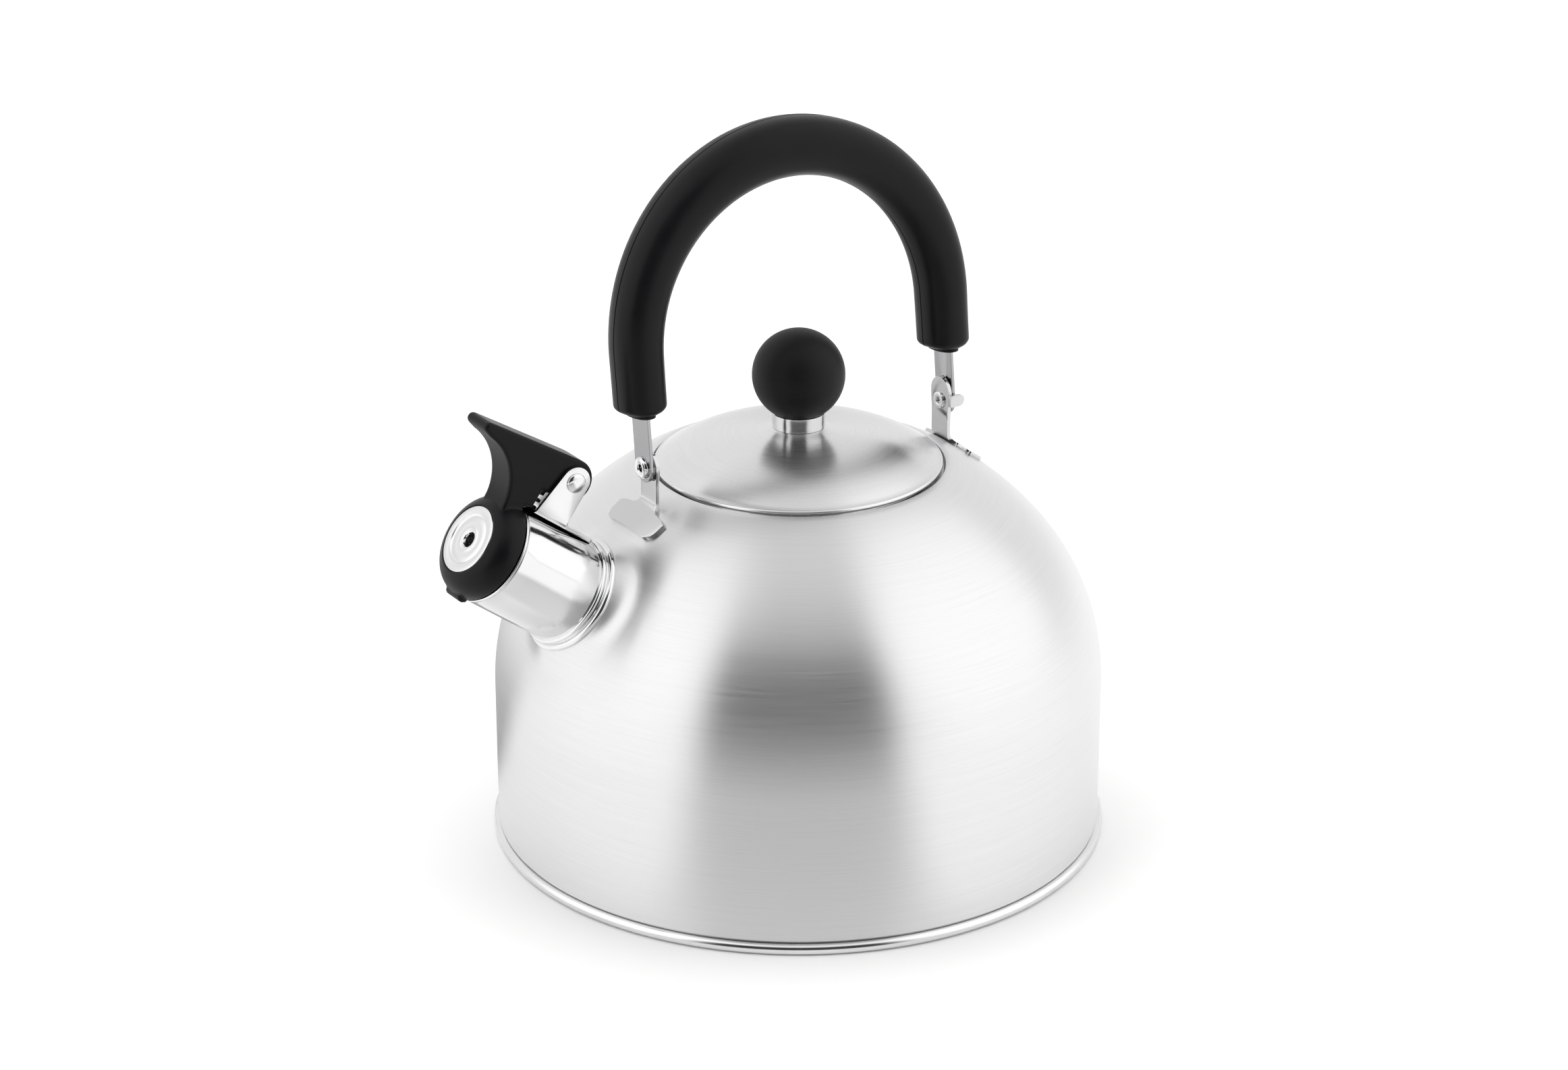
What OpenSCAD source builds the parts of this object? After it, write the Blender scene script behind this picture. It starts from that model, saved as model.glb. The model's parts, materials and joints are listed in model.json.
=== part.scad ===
// Stovetop whistling kettle: a domed steel body with a lift-off lid, a folding bail handle
// and a sprung whistle cap on a slanted spout.
// Frame: +Z up, origin at the centre of the base, the spout points to -X, and the handle
// turns about the X direction. All sizes are in millimetres.

/* [Body] */
// Outer radius of the straight wall
body_r = 95; // [90:0.5:100]
// Thickness of the body sheet
wall = 0.8; // [0.6:0.1:1]
// Height where the straight wall ends and the dome starts
wall_top = 49.5; // [45:0.5:54]
// Radius of the dome's lower arc
arc1_r = 71.3; // [70:0.1:73]
// Slope angle where the lower arc ends
arc1_deg = 39.5; // [38:0.5:41]
// Radius of the dome's middle arc
arc2_r = 99.4; // [97:0.1:102]
// Slope angle where the middle arc ends
arc2_deg = 56.7; // [55:0.1:58]
// Radius of the dome's top arc
arc3_r = 59.2; // [57:0.1:61]
// Radius of the edge where the dome steps down to the lid seat
seat_edge_r = 46; // [45.5:0.1:46.5]
// Height of the lid seat
seat_z = 118.4; // [118:0.1:118.8]
// Inner radius of the mouth
mouth_r = 39.6; // [38.5:0.1:40]

/* [Base] */
// Outer radius of the rolled base rim
rim_r = 96.6; // [96:0.1:97.5]
// Height of the rolled base rim
rim_h = 3.5; // [3:0.1:3.6]
// Radius of the heat-spreading disc under the floor
disc_r = 78; // [70:1:85]

/* [Spout] */
// Angle of the spout above the horizontal
spout_deg = 36.5; // [35:0.5:38]
// Centre of the whistle cap's front face, as [x, z]
cap_face = [-115.4, 120.1];
// Outer radius of the spout tube
tube_r = 16.2; // [16:0.1:16.4]
// Distance from the cap's front face back to the tube's mouth
mouth_back = 8.6; // [8.6:0.1:9]
// Distance from the cap's front face back to the foot of the collar
collar_back = 43.4; // [43:0.1:44]

/* [Whistle cap] */
// Radius of the cap
cap_r = 16.3; // [16:0.1:16.4]
// Radius of the bright front disc
front_disc_r = 10.5; // [10:0.1:10.5]
// Radius of the whistle holes
whistle_hole_r = 2.2; // [1.8:0.1:2.4]
// Width of the lever
lever_w = 12; // [11:0.1:12.2]
// Cap hinge pin as [height above the spout axis, distance behind the front face]
hinge_at = [29.9, 18.7];
// Radius of the hinge pin
pin_r = 1.5; // [1.4:0.05:1.6]

/* [Handle] */
// Height of the handle pivots
pivot_z = 129.7; // [129.5:0.1:131]
// Distance of the strap's middle from the centre line
strap_x = 54.8; // [54.8:0.1:55]
// Thickness of the strap
strap_t = 1.2; // [1:0.1:1.2]
// Width of the strap
strap_w = 9.3; // [8.5:0.1:9.3]
// Height of the arch's centre above the pivots
arch_h = 34.3; // [33:0.1:36]
// Backward lean of the handle as it stands
lean_deg = 6.5; // [5:0.5:8]
// Half thickness of the grip at its ends and at the top
grip_thick = [7.5, 9.2];
// Half width of the grip at its ends and at the top
grip_wide = [8.5, 10];

/* [Lid] */
// Outer radius of the lid
lid_r = 44.4; // [44:0.1:44.6]
// Height of the middle of the lid's rolled edge
lid_edge_z = 120.6; // [120.4:0.1:120.8]
// Height of the top of the lid's neck
neck_z = 132; // [131.8:0.1:132.4]
// Radius of the top of the lid's neck
neck_r = 8; // [7.6:0.1:8.1]
// Radius of the ball knob
knob_r = 14.3; // [13:0.1:15]
// Height of the middle of the ball knob
knob_z = 148.6; // [148:0.1:149]

/* [Hidden] */
$fn = 96;
fit_gap = 0.05;

// Points of an arc about c, from angle a0 to a1 in n steps
function arc(c, r, a0, a1, n) =
    [for (i = [0 : n]) let (a = a0 + (a1 - a0) * i / n) c + r * [cos(a), sin(a)]];
function reversed(p) = [for (i = [len(p) - 1 : -1 : 0]) p[i]];

// ---- dome outline ----
c1 = [body_r - arc1_r, wall_top];
c2 = c1 + (arc1_r - arc2_r) * [cos(arc1_deg), sin(arc1_deg)];
c3 = c2 + (arc2_r - arc3_r) * [cos(arc2_deg), sin(arc2_deg)];
// The dome's outline moved outwards by t, from the wall up to radius r_end
function dome_line(t, r_end) = concat(
    arc(c1, arc1_r + t, 0, arc1_deg, 14),
    arc(c2, arc2_r + t, arc1_deg, arc2_deg, 8),
    arc(c3, arc3_r + t, arc2_deg, acos((r_end - c3[0]) / (arc3_r + t)), 6));

// Solid of the body's outside moved outwards by t, for trimming pieces that sit on it
module dome_fill(t) {
    top = dome_line(t, seat_edge_r);
    rotate_extrude() polygon(concat([[0, 10], [body_r + t, 10]], top,
        [[0, top[len(top) - 1][1]]]));
}

// Places children in the spout's frame: X up across the spout, Z out along its axis
module on_spout() translate([cap_face[0], 0, cap_face[1]]) rotate([0, spout_deg - 90, 0])
    children();

// Extrudes a side view, drawn as [across, along], to a width w about the middle plane
module side_view(w) rotate([90, 0, 0]) linear_extrude(w, center = true) children();

// Places children on the cap's hinge axis, with their Z along the pin
module on_hinge() translate([hinge_at[0], 0, -hinge_at[1]]) rotate([90, 0, 0]) children();

// Places children in the handle's frame: origin between the pivots, leaning back
module on_handle() translate([0, 0, pivot_z]) rotate([-lean_deg, 0, 0]) children();

// ---- body and base ----
lip_r = seat_edge_r - wall;
module body_shell() color([0.78, 0.78, 0.79]) difference() {
    rotate_extrude($fn = 180) polygon(concat(
        [[body_r - wall, rim_h + 0.4], [body_r, rim_h + 0.4]],
        dome_line(0, seat_edge_r),
        [[lip_r, seat_z + 1.2], [lip_r, seat_z], [mouth_r + wall, seat_z],
         [mouth_r, seat_z - wall], [mouth_r, seat_z - 6.4], [mouth_r + wall, seat_z - 6.4],
         [mouth_r + wall, seat_z - 1.4], [mouth_r + 2 * wall, seat_z - wall],
         [seat_edge_r, seat_z - wall]],
        reversed(dome_line(-wall, seat_edge_r + 0.2))));
    on_spout() translate([0, 0, -60]) cylinder(r = tube_r, h = 40);
}

floor_z = 3.4;
bead_r = rim_h / 2;
module base_pan() color([0.7, 0.7, 0.71]) rotate_extrude($fn = 180) union() {
    polygon([[0, floor_z], [disc_r + 6, floor_z], [rim_r - 5.5, bead_r], [rim_r - bead_r, bead_r],
        [rim_r - bead_r, bead_r + wall], [body_r - wall, bead_r + wall], [body_r - wall, 5.4],
        [body_r - 2 * wall, 5.4], [body_r - 2 * wall, bead_r + wall],
        [rim_r - 5.2, bead_r + wall], [disc_r + 6.3, floor_z + wall], [0, floor_z + wall]]);
    translate([rim_r - bead_r, bead_r]) circle(r = bead_r, $fn = 48);
}

module heat_core() color([0.8, 0.8, 0.8]) translate([0, 0, 0.6])
    cylinder(r = disc_r - 0.8, h = floor_z - 0.6);

module base_cap() color([0.72, 0.72, 0.73]) difference() {
    cylinder(r = disc_r, h = floor_z);
    translate([0, 0, 0.6]) cylinder(r = disc_r - 0.8, h = floor_z);
}

// ---- spout ----
flare_c = [27.5, -39];
flare_r = 9.8;
module spout_boss() color([0.75, 0.75, 0.76]) difference() {
    on_spout() rotate_extrude() polygon(concat(
        [[tube_r, -collar_back]],
        arc(flare_c, flare_r, 180 + asin((collar_back + flare_c[1]) / flare_r), 262, 10),
        arc(flare_c, flare_r + 1, 262, 225, 8),
        [[tube_r, -48]]));
    // The flare ends short of the handle bracket's flange
    translate([-flange_out - 0.3, -flange_w, 90]) cube([flange_w, 2 * flange_w, 40]);
}

module spout_tube() color([0.85, 0.85, 0.86]) on_spout() difference() {
    union() {
        translate([0, 0, -48.5]) cylinder(r = tube_r, h = 48.5 - mouth_back);
        translate([0, 0, -mouth_back - 0.9]) cylinder(r = tube_r + 0.2, h = 0.9);
    }
    translate([0, 0, -60]) cylinder(r = tube_r - wall, h = 60);
}

// Two stepped beads round the foot of the tube
module spout_collar() color([0.85, 0.85, 0.86]) on_spout() rotate_extrude() polygon(concat(
    [[tube_r, -collar_back], [tube_r, 4.7 - collar_back]],
    arc([tube_r + 0.35, 3.8 - collar_back], 0.8, 90, -35, 8),
    arc([tube_r + 1.1, 1.25 - collar_back], 1.25, 60, -90, 10)));

// ---- cap hinge ----
ear_t = 1;
ear_in = lever_w / 2 + 0.3;
ear_r = 4.8;
saddle_n = tube_r + 0.05;
ear_foot = [saddle_n, -11.3];
ear_c = [hinge_at[0], -hinge_at[1]];
// Tangent point on the ear's head, seen from the ear's front foot
ear_away = ear_foot - ear_c;
ear_tan = atan2(ear_away[1], ear_away[0]) - acos(ear_r / norm(ear_away));
module ear_outline() {
    translate(ear_c) circle(r = ear_r, $fn = 64);
    polygon([ear_foot, ear_c + ear_r * [cos(ear_tan), sin(ear_tan)], ear_c,
        ear_c - [0, ear_r], [saddle_n, -hinge_at[1] - ear_r]]);
}
module hinge_bracket() color([0.85, 0.85, 0.86]) on_spout() difference() {
    union() {
        for (side = [-1, 1]) translate([0, side * (ear_in + ear_t / 2), 0])
            side_view(ear_t) ear_outline();
        // Saddle plate and its tongue along the tube
        translate([saddle_n, 0, 0]) rotate([0, 90, 0]) linear_extrude(ear_t)
            polygon([[11.3, -ear_in - ear_t], [23.5, -ear_in - ear_t], [30, -4.6], [37, -3.2],
                [38.4, -1.6], [38.4, 1.6], [37, 3.2], [30, 4.6], [23.5, ear_in + ear_t],
                [11.3, ear_in + ear_t]]);
    }
    on_hinge() cylinder(r = pin_r, h = 40, center = true);
}

pin_face = ear_in + ear_t;
head_h = 1.3;
head_r = 3.05;
module rivet_head(r, h) {
    ball = (r * r + h * h) / (2 * h);
    intersection() {
        translate([0, 0, h - ball]) sphere(r = ball);
        cylinder(r = r, h = h);
    }
}
module hinge_pin() color([0.9, 0.9, 0.9]) on_spout() on_hinge() {
    cylinder(r = pin_r, h = 2 * pin_face + 0.4, center = true);
    for (side = [0, 1]) mirror([0, 0, side]) translate([0, 0, pin_face + 0.02])
        rivet_head(head_r, head_h);
}

// The spring's wire runs up one leg, round the coil and out along the other leg
wire_r = 0.4;
coil_r = 2.5;
coil_end = 1800;
coil_from = 270;
coil_pitch = 0.9;
coil_half = (coil_end - coil_from) / 360 * coil_pitch / 2;
spring_path = concat(
    [for (n = [-11.6, -8, -4]) [n, -coil_half, -coil_r, 0]],
    [for (a = [coil_from : 24 : coil_end])
        [coil_r * cos(a), -coil_half + (a - coil_from) / 360 * coil_pitch, coil_r * sin(a),
         a - coil_from]],
    [for (s = [2, 4.5, 7]) [coil_r, coil_half, s, coil_end - coil_from]]);
spring_sides = 8;
// One ring point: the section turns in the coil's plane with the wire
function ring_point(p, k) = let (a = 360 * k / spring_sides, d = p[3] + coil_from)
    [p[0] + wire_r * cos(a) * cos(d), p[1] + wire_r * sin(a), p[2] + wire_r * cos(a) * sin(d)];
// Triangles of a closed sweep with the given numbers of rings and sides, and one end's cap
function sweep_faces(rings, sides, cap) = concat(cap,
    [for (i = [0 : rings - 2], k = [0 : sides - 1], half = [0, 1])
        let (m = (k + 1) % sides, here = i * sides, next = here + sides)
        half == 0 ? [here + m, here + k, next + k] : [here + m, next + k, next + m]],
    [for (t = cap) let (last = (rings - 1) * sides) [last + t[2], last + t[1], last + t[0]]]);
wire_cap = [for (k = [1 : spring_sides - 2]) [0, k, k + 1]];
module closing_spring() color([0.6, 0.6, 0.62]) on_spout()
    translate([hinge_at[0], 0, -hinge_at[1]])
    polyhedron([for (p = spring_path) for (k = [0 : spring_sides - 1]) ring_point(p, k)],
        sweep_faces(len(spring_path), spring_sides, wire_cap));

// ---- whistle cap ----
lever_top = [33.4, 16.4];
tip_r = 1.7;
hollow_c = [11.8, 16.3];
hollow_r = 17.7;
knuckle_r = 6.6;
neck_back = 10.6;
module lever_outline() {
    translate(lever_top - [tip_r, 0]) circle(r = tip_r, $fn = 32);
    translate(ear_c) circle(r = knuckle_r, $fn = 64);
    difference() {
        polygon([lever_top, ear_c + [knuckle_r, 0.8], ear_c, ear_c - [knuckle_r, -1.2],
            [23.3, -neck_back], [saddle_n + 0.7, -neck_back], [saddle_n + 0.7, -8.3],
            [11, -8.3], [11, 6], [lever_top[0] - 2 * tip_r, lever_top[1]]]);
        translate(hollow_c) circle(r = hollow_r, $fn = 96);
    }
}
cap_round = 7;
module cap_lever() color([0.1, 0.1, 0.11]) on_spout() difference() {
    union() {
        side_view(lever_w) lever_outline();
        rotate_extrude() polygon(concat([[0, -8.3], [cap_r, -8.3]],
            arc([cap_r - cap_round, -cap_round], cap_round, 0, 76.5, 10), [[0, -0.2]]));
        // Small lip under the cap
        intersection() {
            translate([-cap_r - 1.1, -4, -8.3]) cube([4, 8, 3.6]);
            rotate_extrude() polygon([[0, -8.3], [cap_r + 1.1, -8.3], [cap_r + 0.6, -6.2],
                [cap_r - 0.8, -4.7], [0, -4.7]]);
        }
    }
    // Seat for the front disc, whistle chamber and the hollow over the spout's mouth
    translate([0, 0, -1.1]) cylinder(r = front_disc_r + fit_gap, h = 4);
    translate([0, 0, -7]) cylinder(r = 9, h = 7);
    translate([0, 0, -9]) cylinder(r = tube_r - 1.6, h = 3.6);
    on_hinge() cylinder(r = pin_r + fit_gap, h = 40, center = true);
    // Room for the closing spring between the two cheeks
    side_view(6) {
        translate(ear_c) circle(r = 4.4, $fn = 64);
        translate([saddle_n, -23.2]) square([hinge_at[0] - saddle_n, 8.8]);
        translate([hinge_at[0], -hinge_at[1]]) square([3.6, 8.1]);
    }
}

module whistle_front_disc() color([0.85, 0.85, 0.86]) on_spout() rotate_extrude()
    polygon([[whistle_hole_r, -1.1], [front_disc_r, -1.1], [front_disc_r, -0.3],
        [front_disc_r - 0.3, 0], [8.4, 0], [7.6, -0.45], [whistle_hole_r + 1, -0.45],
        [whistle_hole_r, -0.7]]);

module whistle_spacer() color([0.8, 0.8, 0.8]) on_spout() translate([0, 0, -4.2]) difference() {
    cylinder(r = 9, h = 3.1);
    translate([0, 0, -1]) cylinder(r = 7.8, h = 6);
}

module whistle_rear_disc() color([0.8, 0.8, 0.8]) on_spout() translate([0, 0, -4.9]) difference() {
    cylinder(r = 9, h = 0.7);
    translate([0, 0, -1]) cylinder(r = whistle_hole_r, h = 3);
}

// ---- handle mounts ----
tab_t = 1.2;
washer_t = 0.5;
strap_in = strap_x - strap_t / 2;
tab_out = strap_in - fit_gap - washer_t;
tab_in = tab_out - tab_t;
flange_t = 1.1;
flange_w = 25;
flange_out = 61.5;
flange_round = 3.5;
rivet_r = 1.9;
// Radius of the tab's round head
tab_r = 4.9;

// Extrudes a view along X, drawn as [y, z], from x0 by t
module end_view(x0, t) translate([x0, 0, 0]) rotate([90, 0, 90]) linear_extrude(t) children();

// One handle bracket on the +X side: an upright tab on a flange that follows the dome.
// The middle of the tab's round head is rise above the pivot.
module bracket(rise) difference() {
    union() {
        end_view(tab_in, tab_t) {
            translate([0, pivot_z + rise]) circle(r = tab_r, $fn = 64);
            polygon([[-tab_r, pivot_z + rise], [-tab_r, pivot_z - 2], [-4.3, 122.5],
                [-4.3, 121], [-7, 117.8], [-7, 114], [7, 114], [7, 117.8], [4.3, 121],
                [4.3, 122.5], [tab_r, pivot_z - 2], [tab_r, pivot_z + rise]]);
        }
        intersection() {
            dome_fill(flange_t);
            translate([0, 0, 100]) linear_extrude(30) union() {
                translate([tab_in, -flange_w / 2])
                    square([flange_out - flange_round - tab_in, flange_w]);
                translate([tab_in, flange_round - flange_w / 2])
                    square([flange_out - tab_in, flange_w - 2 * flange_round]);
                for (side = [-1, 1])
                    translate([flange_out - flange_round, side * (flange_w / 2 - flange_round)])
                        circle(r = flange_round, $fn = 48);
            }
        }
    }
    dome_fill(0);
    translate([tab_in - 1, 0, pivot_z]) rotate([0, 90, 0]) cylinder(r = rivet_r, h = 4);
}
module front_bracket() color([0.82, 0.82, 0.83]) mirror([1, 0, 0]) bracket(0);

ear_len = 4.4;
ear_half = 2.4;
ear_z = pivot_z + 1;
stop_y = strap_w / 2 + 0.35;
module rear_bracket() color([0.82, 0.82, 0.83]) {
    bracket(2.7);
    // Stop ear, bent outwards from the tab's edge
    translate([0, -stop_y, ear_z]) rotate([90, 0, 0]) linear_extrude(1) {
        translate([tab_in, -ear_half]) square([tab_t + ear_len - ear_half, 2 * ear_half]);
        translate([tab_out + ear_len - ear_half, 0]) circle(r = ear_half, $fn = 48);
    }
    translate([tab_in, -stop_y - 1, ear_z - ear_half]) cube([tab_t, 1.4, 2 * ear_half]);
}

// Places children on one pivot, with their Z pointing outwards from the tab's outer face
module on_pivot(side) translate([side * tab_out, 0, pivot_z]) rotate([0, side * 90, 0]) children();

module washer() difference() {
    cylinder(r = 3.8, h = washer_t);
    translate([0, 0, -1]) cylinder(r = rivet_r, h = 3);
}
module front_washer() color([0.8, 0.8, 0.8]) on_pivot(-1) washer();
module rear_washer() color([0.8, 0.8, 0.8]) on_pivot(1) washer();

module rivet() difference() {
    union() {
        translate([0, 0, -tab_t - 0.3]) cylinder(r = rivet_r, h = 4.2);
        translate([0, 0, washer_t + strap_t + 2 * fit_gap]) rivet_head(3.5, 1.4);
        translate([0, 0, -tab_t]) mirror([0, 0, 1]) rivet_head(2.7, 0.9);
    }
    translate([0, 0, -3]) cylinder(r = 1.1, h = 4);
    translate([0, 0, washer_t + strap_t + 0.4]) cylinder(r = 1.2, h = 3);
}
module front_rivet() color([0.85, 0.85, 0.86]) on_pivot(-1) rivet();
module rear_rivet() color([0.85, 0.85, 0.86]) on_pivot(1) rivet();

// ---- handle ----
module strap_leg() difference() {
    end_view(strap_x - strap_t / 2, strap_t) {
        circle(r = strap_w / 2, $fn = 64);
        translate([-strap_w / 2, 0]) square([strap_w, arch_h]);
    }
    rotate([0, 90, 0]) cylinder(r = rivet_r + fit_gap, h = 80);
}
module handle_strap() color([0.8, 0.8, 0.81]) on_handle() {
    strap_leg();
    mirror([1, 0, 0]) strap_leg();
    rotate([90, 0, 0]) linear_extrude(strap_w, center = true) difference() {
        translate([0, arch_h]) circle(r = strap_x + strap_t / 2, $fn = 180);
        translate([0, arch_h]) circle(r = strap_x - strap_t / 2, $fn = 180);
        translate([-70, arch_h - 80]) square([140, 80]);
    }
}

grip_start = 16;
leg_len = arch_h - grip_start;
arc_len = 180 * strap_x * PI / 180;
half_len = leg_len + arc_len / 2;
// Distances from a grip end where the section changes, then even steps to the top
near_end = [0, 1.2, 1.4, 1.8, 2.4, 3.4];
steps = 20;
half_run = concat(near_end, [for (i = [1 : steps]) 3.4 + (half_len - 3.4) * i / steps]);
grip_run = concat(half_run, [for (i = [len(half_run) - 2 : -1 : 0]) 2 * half_len - half_run[i]]);
// Share of the end's full section at a distance d from the grip's end
function end_share(d) = d < 1.3 ? 0 : d < 3.4 ? sqrt(1 - pow((3.4 - d) / 2.6, 2)) : 1;
function ease(u) = u * u * (3 - 2 * u);
function grow(pair, d) = pair[0] + (pair[1] - pair[0]) * ease(min(1, d / half_len));
// Point and direction of the arch at distance s, as [x, h, direction angle]
function arch_at(s) = s < leg_len ? [-strap_x, grip_start + s, 180]
    : s > leg_len + arc_len ? [strap_x, grip_start + 2 * half_len - s, 0]
    : let (a = 180 - (s - leg_len) / strap_x * 180 / PI)
        [strap_x * cos(a), arch_h + strap_x * sin(a), a];
section_steps = 14;
channel = [strap_t / 2 + 0.05, strap_w / 2 + 0.05];
bulge = 2 / 2.3;
// Half section with the strap's channel, as [outwards, across]
function half_section(a, b) = concat(
    [for (i = [0 : section_steps]) let (q = 180 * i / section_steps)
        [a * sign(cos(q)) * pow(abs(cos(q)), bulge), b * pow(abs(sin(q)), bulge)]],
    [[-channel[0], 0], channel * -1 + [0, 2 * channel[1]], channel, [channel[0], 0]]);
function grip_ring(s) = let (d = min(s, 2 * half_len - s), p = arch_at(s), e = end_share(d),
        a = e == 0 ? 3 : 3.4 + (grow(grip_thick, d) - 3.4) * e,
        b = e == 0 ? 6.2 : 6.5 + (grow(grip_wide, d) - 6.5) * e)
    [for (q = half_section(a, b)) [p[0] + q[0] * cos(p[2]), q[1], p[1] + q[0] * sin(p[2])]];
// The end's cap, as one fan on each side of the strap's channel
crest = section_steps / 2;
grip_cap = concat([[section_steps + 3, section_steps + 4, 0]],
    [for (k = [0 : crest - 1]) [section_steps + 3, k, k + 1]],
    [[section_steps + 2, section_steps + 3, crest]],
    [for (k = [crest : section_steps]) [section_steps + 2, k, k + 1]]);
module grip_half() polyhedron([for (s = reversed(grip_run)) each grip_ring(s)],
    sweep_faces(len(grip_run), section_steps + 5, grip_cap), convexity = 6);
module grip_far_half() color([0.12, 0.12, 0.13]) on_handle() grip_half();
module grip_near_half() color([0.12, 0.12, 0.13]) on_handle() mirror([0, 1, 0]) grip_half();

// ---- lid ----
lid_t = 0.7;
edge_bead = 0.8;
flare_deg = [26, 6];
flare_end_r = 12;
bell_r = (flare_end_r - neck_r) / (sin(flare_deg[0]) - sin(flare_deg[1]));
bell_c = [neck_r + bell_r * sin(flare_deg[0]), neck_z + bell_r * cos(flare_deg[0])];
flare_end_z = bell_c[1] - bell_r * cos(flare_deg[1]);
crown_run = lid_r - edge_bead - flare_end_r;
crown_drop = flare_end_z - lid_edge_z - edge_bead;
// Height of the crown at radius r: it starts at the flare's end slope and steepens to the edge
function crown_z(r) = let (u = (r - flare_end_r) / crown_run, g = tan(flare_deg[1]) * crown_run)
    flare_end_z - g * u - (crown_drop - g) * pow(u, 3);
function lid_top(t) = concat(
    [for (i = [0 : 18]) let (r = lid_r - edge_bead - crown_run * i / 18) [r, crown_z(r) - t]],
    arc(bell_c, bell_r + t, 270 - flare_deg[1], 270 - flare_deg[0], 12));
module lid_cover() color([0.76, 0.76, 0.77]) rotate_extrude($fn = 144) union() {
    translate([lid_r - edge_bead, lid_edge_z]) circle(r = edge_bead, $fn = 32);
    polygon(concat(lid_top(0), [[rivet_r + 0.3, neck_z], [rivet_r + 0.3, neck_z - lid_t],
        [neck_r - 1.2, neck_z - lid_t]], reversed(lid_top(lid_t))));
}

skirt_r = mouth_r - 0.4;
skirt_in = skirt_r - 0.8;
module lid_skirt() color([0.74, 0.74, 0.75]) rotate_extrude($fn = 144)
    polygon([[skirt_in, seat_z - 9], [skirt_r, seat_z - 9], [skirt_r, seat_z + 0.35],
        [lid_r - 2 * edge_bead, seat_z + 0.35], [lid_r - 2 * edge_bead, seat_z + 1.1],
        [skirt_r, seat_z + 1.1], [skirt_r, crown_z(skirt_r) - lid_t],
        [skirt_in, crown_z(skirt_in) - lid_t]]);

knob_foot_z = 136.9;
screw_r = 1.95;
module knob_ferrule() color([0.85, 0.85, 0.86]) translate([0, 0, neck_z]) difference() {
    cylinder(r = 8.2, h = knob_foot_z - neck_z);
    translate([0, 0, -1]) cylinder(r = rivet_r + 0.3, h = 8);
}

module lid_knob() color([0.12, 0.12, 0.13]) difference() {
    translate([0, 0, knob_z]) sphere(r = knob_r);
    translate([0, 0, knob_foot_z - 20]) cylinder(r = 30, h = 20);
    translate([0, 0, knob_foot_z - 1]) cylinder(r = screw_r, h = 12);
}

washer_z = neck_z - lid_t - 0.8;
module screw_washer() color([0.8, 0.8, 0.8]) translate([0, 0, washer_z]) difference() {
    cylinder(r = 4.6, h = 0.8);
    translate([0, 0, -1]) cylinder(r = screw_r, h = 3);
}
module knob_screw() color([0.7, 0.7, 0.7]) difference() {
    union() {
        translate([0, 0, washer_z]) cylinder(r = screw_r, h = knob_foot_z + 10 - washer_z);
        translate([0, 0, washer_z]) mirror([0, 0, 1]) rivet_head(3.7, 2.2);
    }
    // Cross recess in the head
    for (a = [0, 90]) translate([0, 0, washer_z - 2.4]) rotate([0, 0, a])
        cube([3.6, 0.8, 2.4], center = true);
}

body_shell();
base_pan();
heat_core();
base_cap();
spout_boss();
spout_tube();
spout_collar();
hinge_bracket();
hinge_pin();
closing_spring();
cap_lever();
whistle_front_disc();
whistle_spacer();
whistle_rear_disc();
front_bracket();
rear_bracket();
front_washer();
rear_washer();
front_rivet();
rear_rivet();
handle_strap();
grip_near_half();
grip_far_half();
lid_cover();
lid_skirt();
knob_ferrule();
lid_knob();
knob_screw();
screw_washer();
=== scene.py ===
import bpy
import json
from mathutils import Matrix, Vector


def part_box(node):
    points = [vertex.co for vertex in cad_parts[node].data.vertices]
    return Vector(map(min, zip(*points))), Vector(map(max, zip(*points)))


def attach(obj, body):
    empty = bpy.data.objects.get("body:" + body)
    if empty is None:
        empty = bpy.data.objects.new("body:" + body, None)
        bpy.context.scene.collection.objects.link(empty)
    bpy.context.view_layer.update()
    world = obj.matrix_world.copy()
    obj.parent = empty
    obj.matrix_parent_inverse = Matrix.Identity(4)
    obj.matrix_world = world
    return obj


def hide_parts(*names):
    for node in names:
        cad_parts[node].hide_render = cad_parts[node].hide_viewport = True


bl_info = {
    "name": "Whistling kettle",
    "version": (1, 0, 0),
    "blender": (4, 5, 0),
    "location": "3D View > Sidebar > Kettle",
    "description": "Shapes, finishes and studio of a stovetop whistling kettle",
    "category": "Object",
}

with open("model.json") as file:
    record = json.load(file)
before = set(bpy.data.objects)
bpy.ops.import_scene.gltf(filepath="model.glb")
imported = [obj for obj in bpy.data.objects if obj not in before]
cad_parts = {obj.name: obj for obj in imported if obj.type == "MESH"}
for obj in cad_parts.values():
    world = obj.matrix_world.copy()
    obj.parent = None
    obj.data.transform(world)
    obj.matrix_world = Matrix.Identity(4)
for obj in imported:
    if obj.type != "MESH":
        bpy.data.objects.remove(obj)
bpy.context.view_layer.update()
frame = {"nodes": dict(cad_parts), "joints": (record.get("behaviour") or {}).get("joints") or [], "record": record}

import json
import math

import bmesh
import bpy
from bpy.props import FloatProperty, FloatVectorProperty, IntProperty, PointerProperty
from mathutils import Matrix, Vector

# Outlines are drawn in millimetres, and every mesh is in metres
MM = 0.001


def joint(name):
    return next(j for j in frame["joints"] if j["name"] == name)


def box_mm(node):
    low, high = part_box(node)
    return low / MM, high / MM


# ---- frames of the parts ----
SPOUT_ANGLE = math.radians(36.5)
AXIS = Vector((-math.cos(SPOUT_ANGLE), 0, math.sin(SPOUT_ANGLE)))
ACROSS = Vector((math.sin(SPOUT_ANGLE), 0, math.cos(SPOUT_ANGLE)))
DISC_DEPTH = 1.1
disc_low, disc_high = box_mm("whistle_front_disc")
FACE = (disc_low + disc_high) / 2 + AXIS * DISC_DEPTH / 2
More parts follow.
